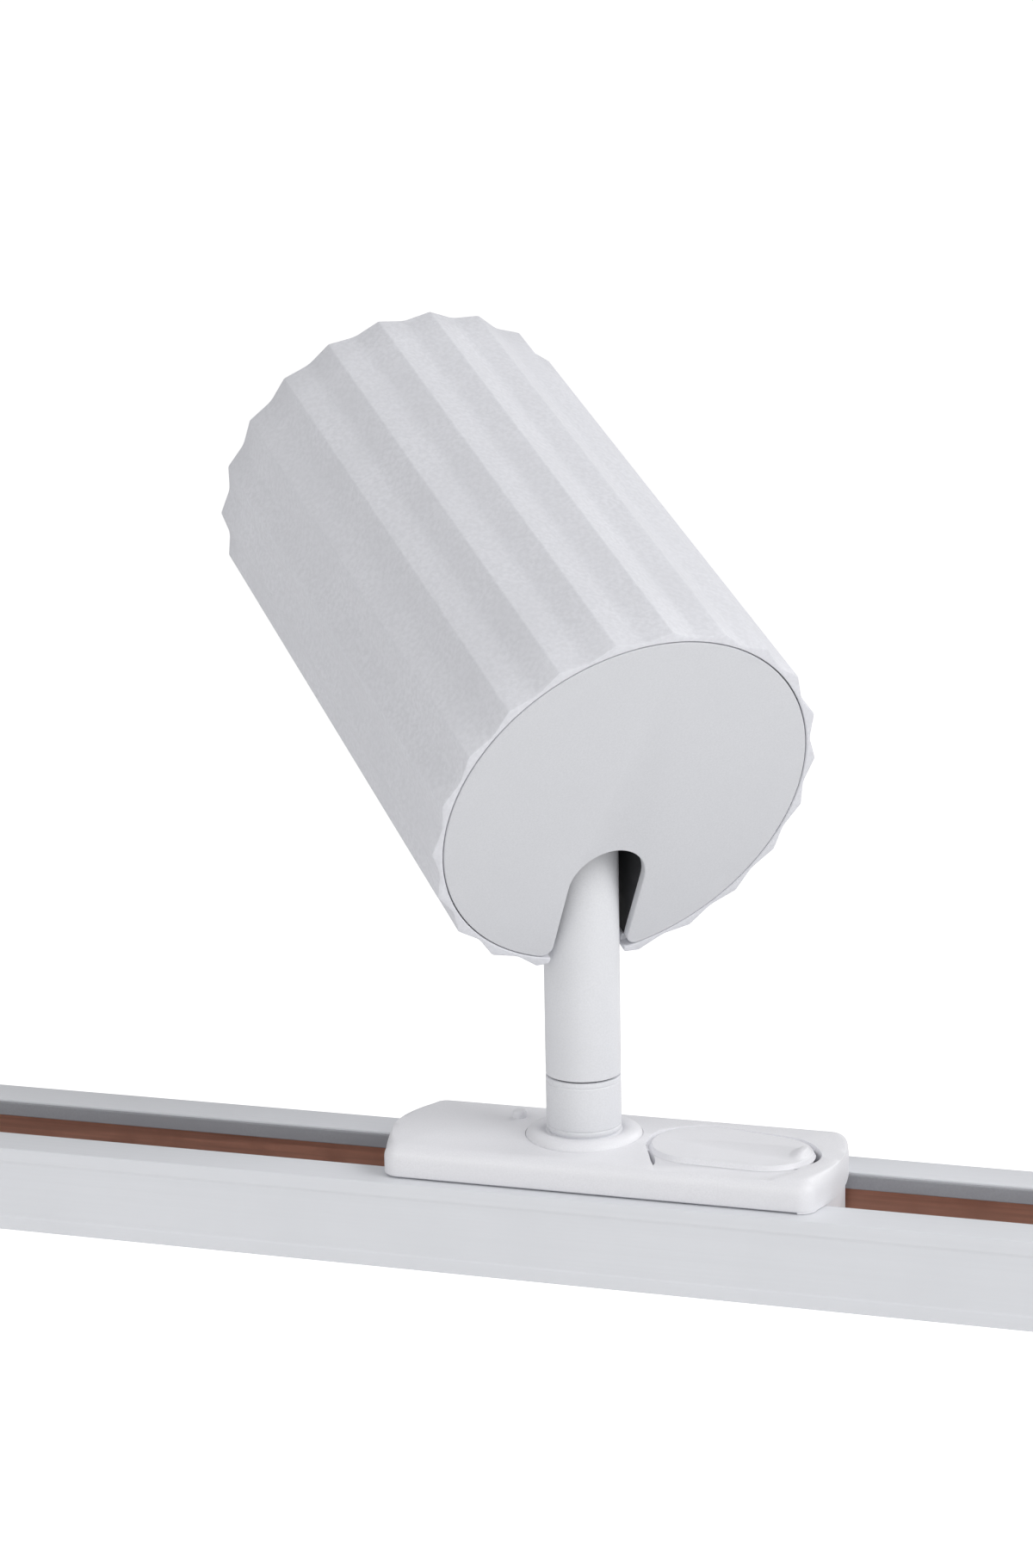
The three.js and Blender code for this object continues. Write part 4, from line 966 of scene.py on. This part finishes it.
def make_front():
    """What shows from the front: trim with anti-glare steps, lens, reflector and the LED."""
    fit = BORE - GAP
    lens_rear, lens_front, lens_radius = 84.2, 86.1, 30.4
    rim, seat_radius, mouth_radius, throat_radius = FRONT - 0.3, 30.7, 30.3, 28.4
    steps = 5
    trim = [(seat_radius, 79), (fit, 79), (fit, rim - 0.4), (fit - 0.4, rim), (30.5, rim),
            (mouth_radius, rim - 0.15)]
    for i in range(steps):
        radius = mouth_radius - (mouth_radius - throat_radius) * i / steps
        x = rim - 0.3 - (rim - 0.6 - lens_front - 0.3) * i / steps
        next_radius = radius - (mouth_radius - throat_radius) / steps
        trim += [(radius, x), (radius - 0.12, x - 0.25), (next_radius, x - 0.3)]
    trim += [(throat_radius, lens_front + GAP), (seat_radius, lens_front + GAP)]
    turned("trim_ring", trim, BLACK, "black_plastic", "front_trim", segments=160, angle=25)
    lens = box_profile(0, lens_radius, lens_rear, lens_front, 0.3)
    turned("lens_disc", lens, LENS, "clear_lens", "front_lens")
    turned("gasket", box_profile(28.6, 30.2, 82.9, 83.9, 0.3), RUBBER, "gasket_rubber", "lens_gasket")
    turned("led_ring", box_profile(14.4, 17, 61.3, 64.5, 0.4), BLACK, "black_plastic", "led_holder")
    turned("emitter", box_profile(0, 6.5, 63.1, 63.8, 0.3), PHOSPHOR, "led_phosphor", "led_emitter")
    make_reflector()


def make_reflector():
    """A parabolic cup of flat facets, as spun and stamped spotlight reflectors have."""
    throat_x, throat_r, mouth_x, mouth_r, rim_r, skin = 65.0, 8.0, 81.6, 27.4, 30.2, 0.9
    bend = (mouth_x - throat_x) / (mouth_r ** 2 - throat_r ** 2)
    rows, columns = 12, 36
    radii = np.linspace(throat_r, mouth_r, rows + 1)
    mesh = bmesh.new()
    inner = []
    for i, radius in enumerate(radii):
        turn = 0.5 * (i % 2)
        x = throat_x + bend * (radius ** 2 - throat_r ** 2)
        inner.append([(radius * math.cos(2 * math.pi * (k + turn) / columns),
                       radius * math.sin(2 * math.pi * (k + turn) / columns), x) for k in range(columns)])
    angles = [2 * math.pi * k / columns for k in range(columns)]

    def circle(radius, x):
        return [mesh.verts.new((radius * math.cos(a), radius * math.sin(a), x)) for a in angles]

    rings = [[mesh.verts.new(p) for p in row] for row in inner]
    for i in range(rows):
        for k in range(columns):
            j = (k + 1) % columns
            low, high = rings[i], rings[i + 1]
            if i % 2 == 0:
                mesh.faces.new((low[k], low[j], high[k]))
                mesh.faces.new((low[j], high[j], high[k]))
            else:
                mesh.faces.new((low[k], high[j], high[k]))
                mesh.faces.new((low[k], low[j], high[j]))
    back = [circle(mouth_r, mouth_x + 1), circle(rim_r, mouth_x + 1), circle(rim_r, mouth_x),
            circle(mouth_r + skin + 0.2, mouth_x)]
    for radius in radii[::-3]:
        back.append(circle(radius + skin, throat_x + bend * (radius ** 2 - throat_r ** 2)))
    chain = [rings[-1], *back, rings[0]]
    for low, high in zip(chain, chain[1:]):
        for k in range(columns):
            j = (k + 1) % columns
            mesh.faces.new((low[k], low[j], high[j], high[k]))
    made = mesh_object("reflector_cup", mesh, ON_AXIS)
    piece(made, "head", MIRROR, "reflector_finish", "reflector", angle=3)


# ---------------------------------------------------------------- inner pieces kept from the CAD

KEPT = {
    STEEL: ["stem_nipple", "stem_lock_nut", "pan_nut", "pan_stop_pin", "pivot_bracket", "pivot_screw_left",
            "pivot_screw_right", "bracket_screw_left", "bracket_screw_right", "mounting_plate"],
    BRASS: ["pan_washer", "terminal_near", "terminal_far", "tilt_washer_left", "tilt_washer_right",
            "standoff_left", "standoff_right"],
    BLUE: ["adapter_lead_near", "arm_lead_near", "led_lead_near", "driver_lead_near"],
    RED: ["adapter_lead_far", "arm_lead_far", "led_lead_far", "driver_lead_far"],
    BLACK: ["lever_rotor", "slot_liner", "driver_capacitor"],
    COPPER: ["contact_blade_near", "contact_blade_far"],
    WHITE: ["driver_case"],
    BOARD: ["driver_board"],
    WINDING: ["driver_transformer"],
    ALUMINIUM: ["heat_sink"],
    LED_BOARD: ["led_board"],
}


def dress_kept_nodes():
    for material, names in KEPT.items():
        for name in names:
            node = frame["nodes"][name]
            for place in node.material_slots:
                place.material = material


# ---------------------------------------------------------------- floor and light


def area_light(name, place, target, size, power):
    data = bpy.data.lights.new(name, "AREA")
    data.shape = "RECTANGLE"
    data.size = data.size_y = size
    data.energy = power
    light = bpy.data.objects.new(name, data)
    light.location = place
    light.rotation_mode = "QUATERNION"
    light.rotation_quaternion = (Vector(target) - Vector(place)).to_track_quat("-Z", "Y")
    bpy.context.scene.collection.objects.link(light)


def camera_switch(tree, lit, seen):
    """A strength that is one value where it lights the object and another where the camera sees it."""
    path = tree.nodes.new("ShaderNodeLightPath")
    level = tree.nodes.new("ShaderNodeMapRange")
    level.inputs["To Min"].default_value = lit
    level.inputs["To Max"].default_value = seen
    tree.links.new(path.outputs["Is Camera Ray"], level.inputs["Value"])
    return level.outputs["Result"]


def make_stage():
    """A wide pale floor, well below the track so that no shadow of the fixture shows."""
    floor_z, reach = -300, 6000
    mesh = bmesh.new()
    bmesh.ops.create_grid(mesh, x_segments=1, y_segments=1, size=reach)
    floor = mesh_object("floor", mesh, Matrix.Translation((0, 0, floor_z)))
    n = Nodes("floor_white", 0.8)
    n.colour(n.mix(n.ramp(n.noise(400, 2), 0.3, 0.7), (0.86, 0.86, 0.86), (0.88, 0.88, 0.88)))
    n.shader.inputs["Emission Color"].default_value = (1, 1, 1, 1)
    tree = n.material.node_tree
    tree.links.new(camera_switch(tree, lit=0.18, seen=0.7), n.shader.inputs["Emission Strength"])
    floor.data.materials.append(n.material)


def make_world():
    """An even white studio."""
    world = bpy.data.worlds.new("studio")
    bpy.context.scene.world = world
    world.use_nodes = True
    tree = world.node_tree
    background = tree.nodes["Background"]
    background.inputs["Color"].default_value = (1, 1, 1, 1)
    tree.links.new(camera_switch(tree, lit=0.38, seen=1.05), background.inputs["Strength"])


def towards(azimuth, elevation, distance):
    a, e = math.radians(azimuth), math.radians(elevation)
    return Vector((math.cos(a) * math.cos(e), math.sin(a) * math.cos(e), math.sin(e))) * distance


def make_lights():
    """Four soft boxes round the object, in metres and watts: the strongest is at the right."""
    middle, distance, elevation, size = Vector((0, 0, 0.08)), 1.5, 30, 0.9
    for name, azimuth, power in (("key", -15, 12.0), ("front", -90, 3.2),
                                 ("back", 60, 5.7), ("side", -130, 3.6)):
        area_light(name, middle + towards(azimuth, elevation, distance), middle, size, power)


bpy.context.scene.view_settings.view_transform = "Standard"

make_track()
make_track_fillings()
make_end_caps()
make_cover()
make_insert()
make_collar()
make_sleeve()
make_peg()
make_arm()
make_lever()
make_housing()
make_cap()
make_front()
dress_kept_nodes()
make_stage()
make_world()
make_lights()
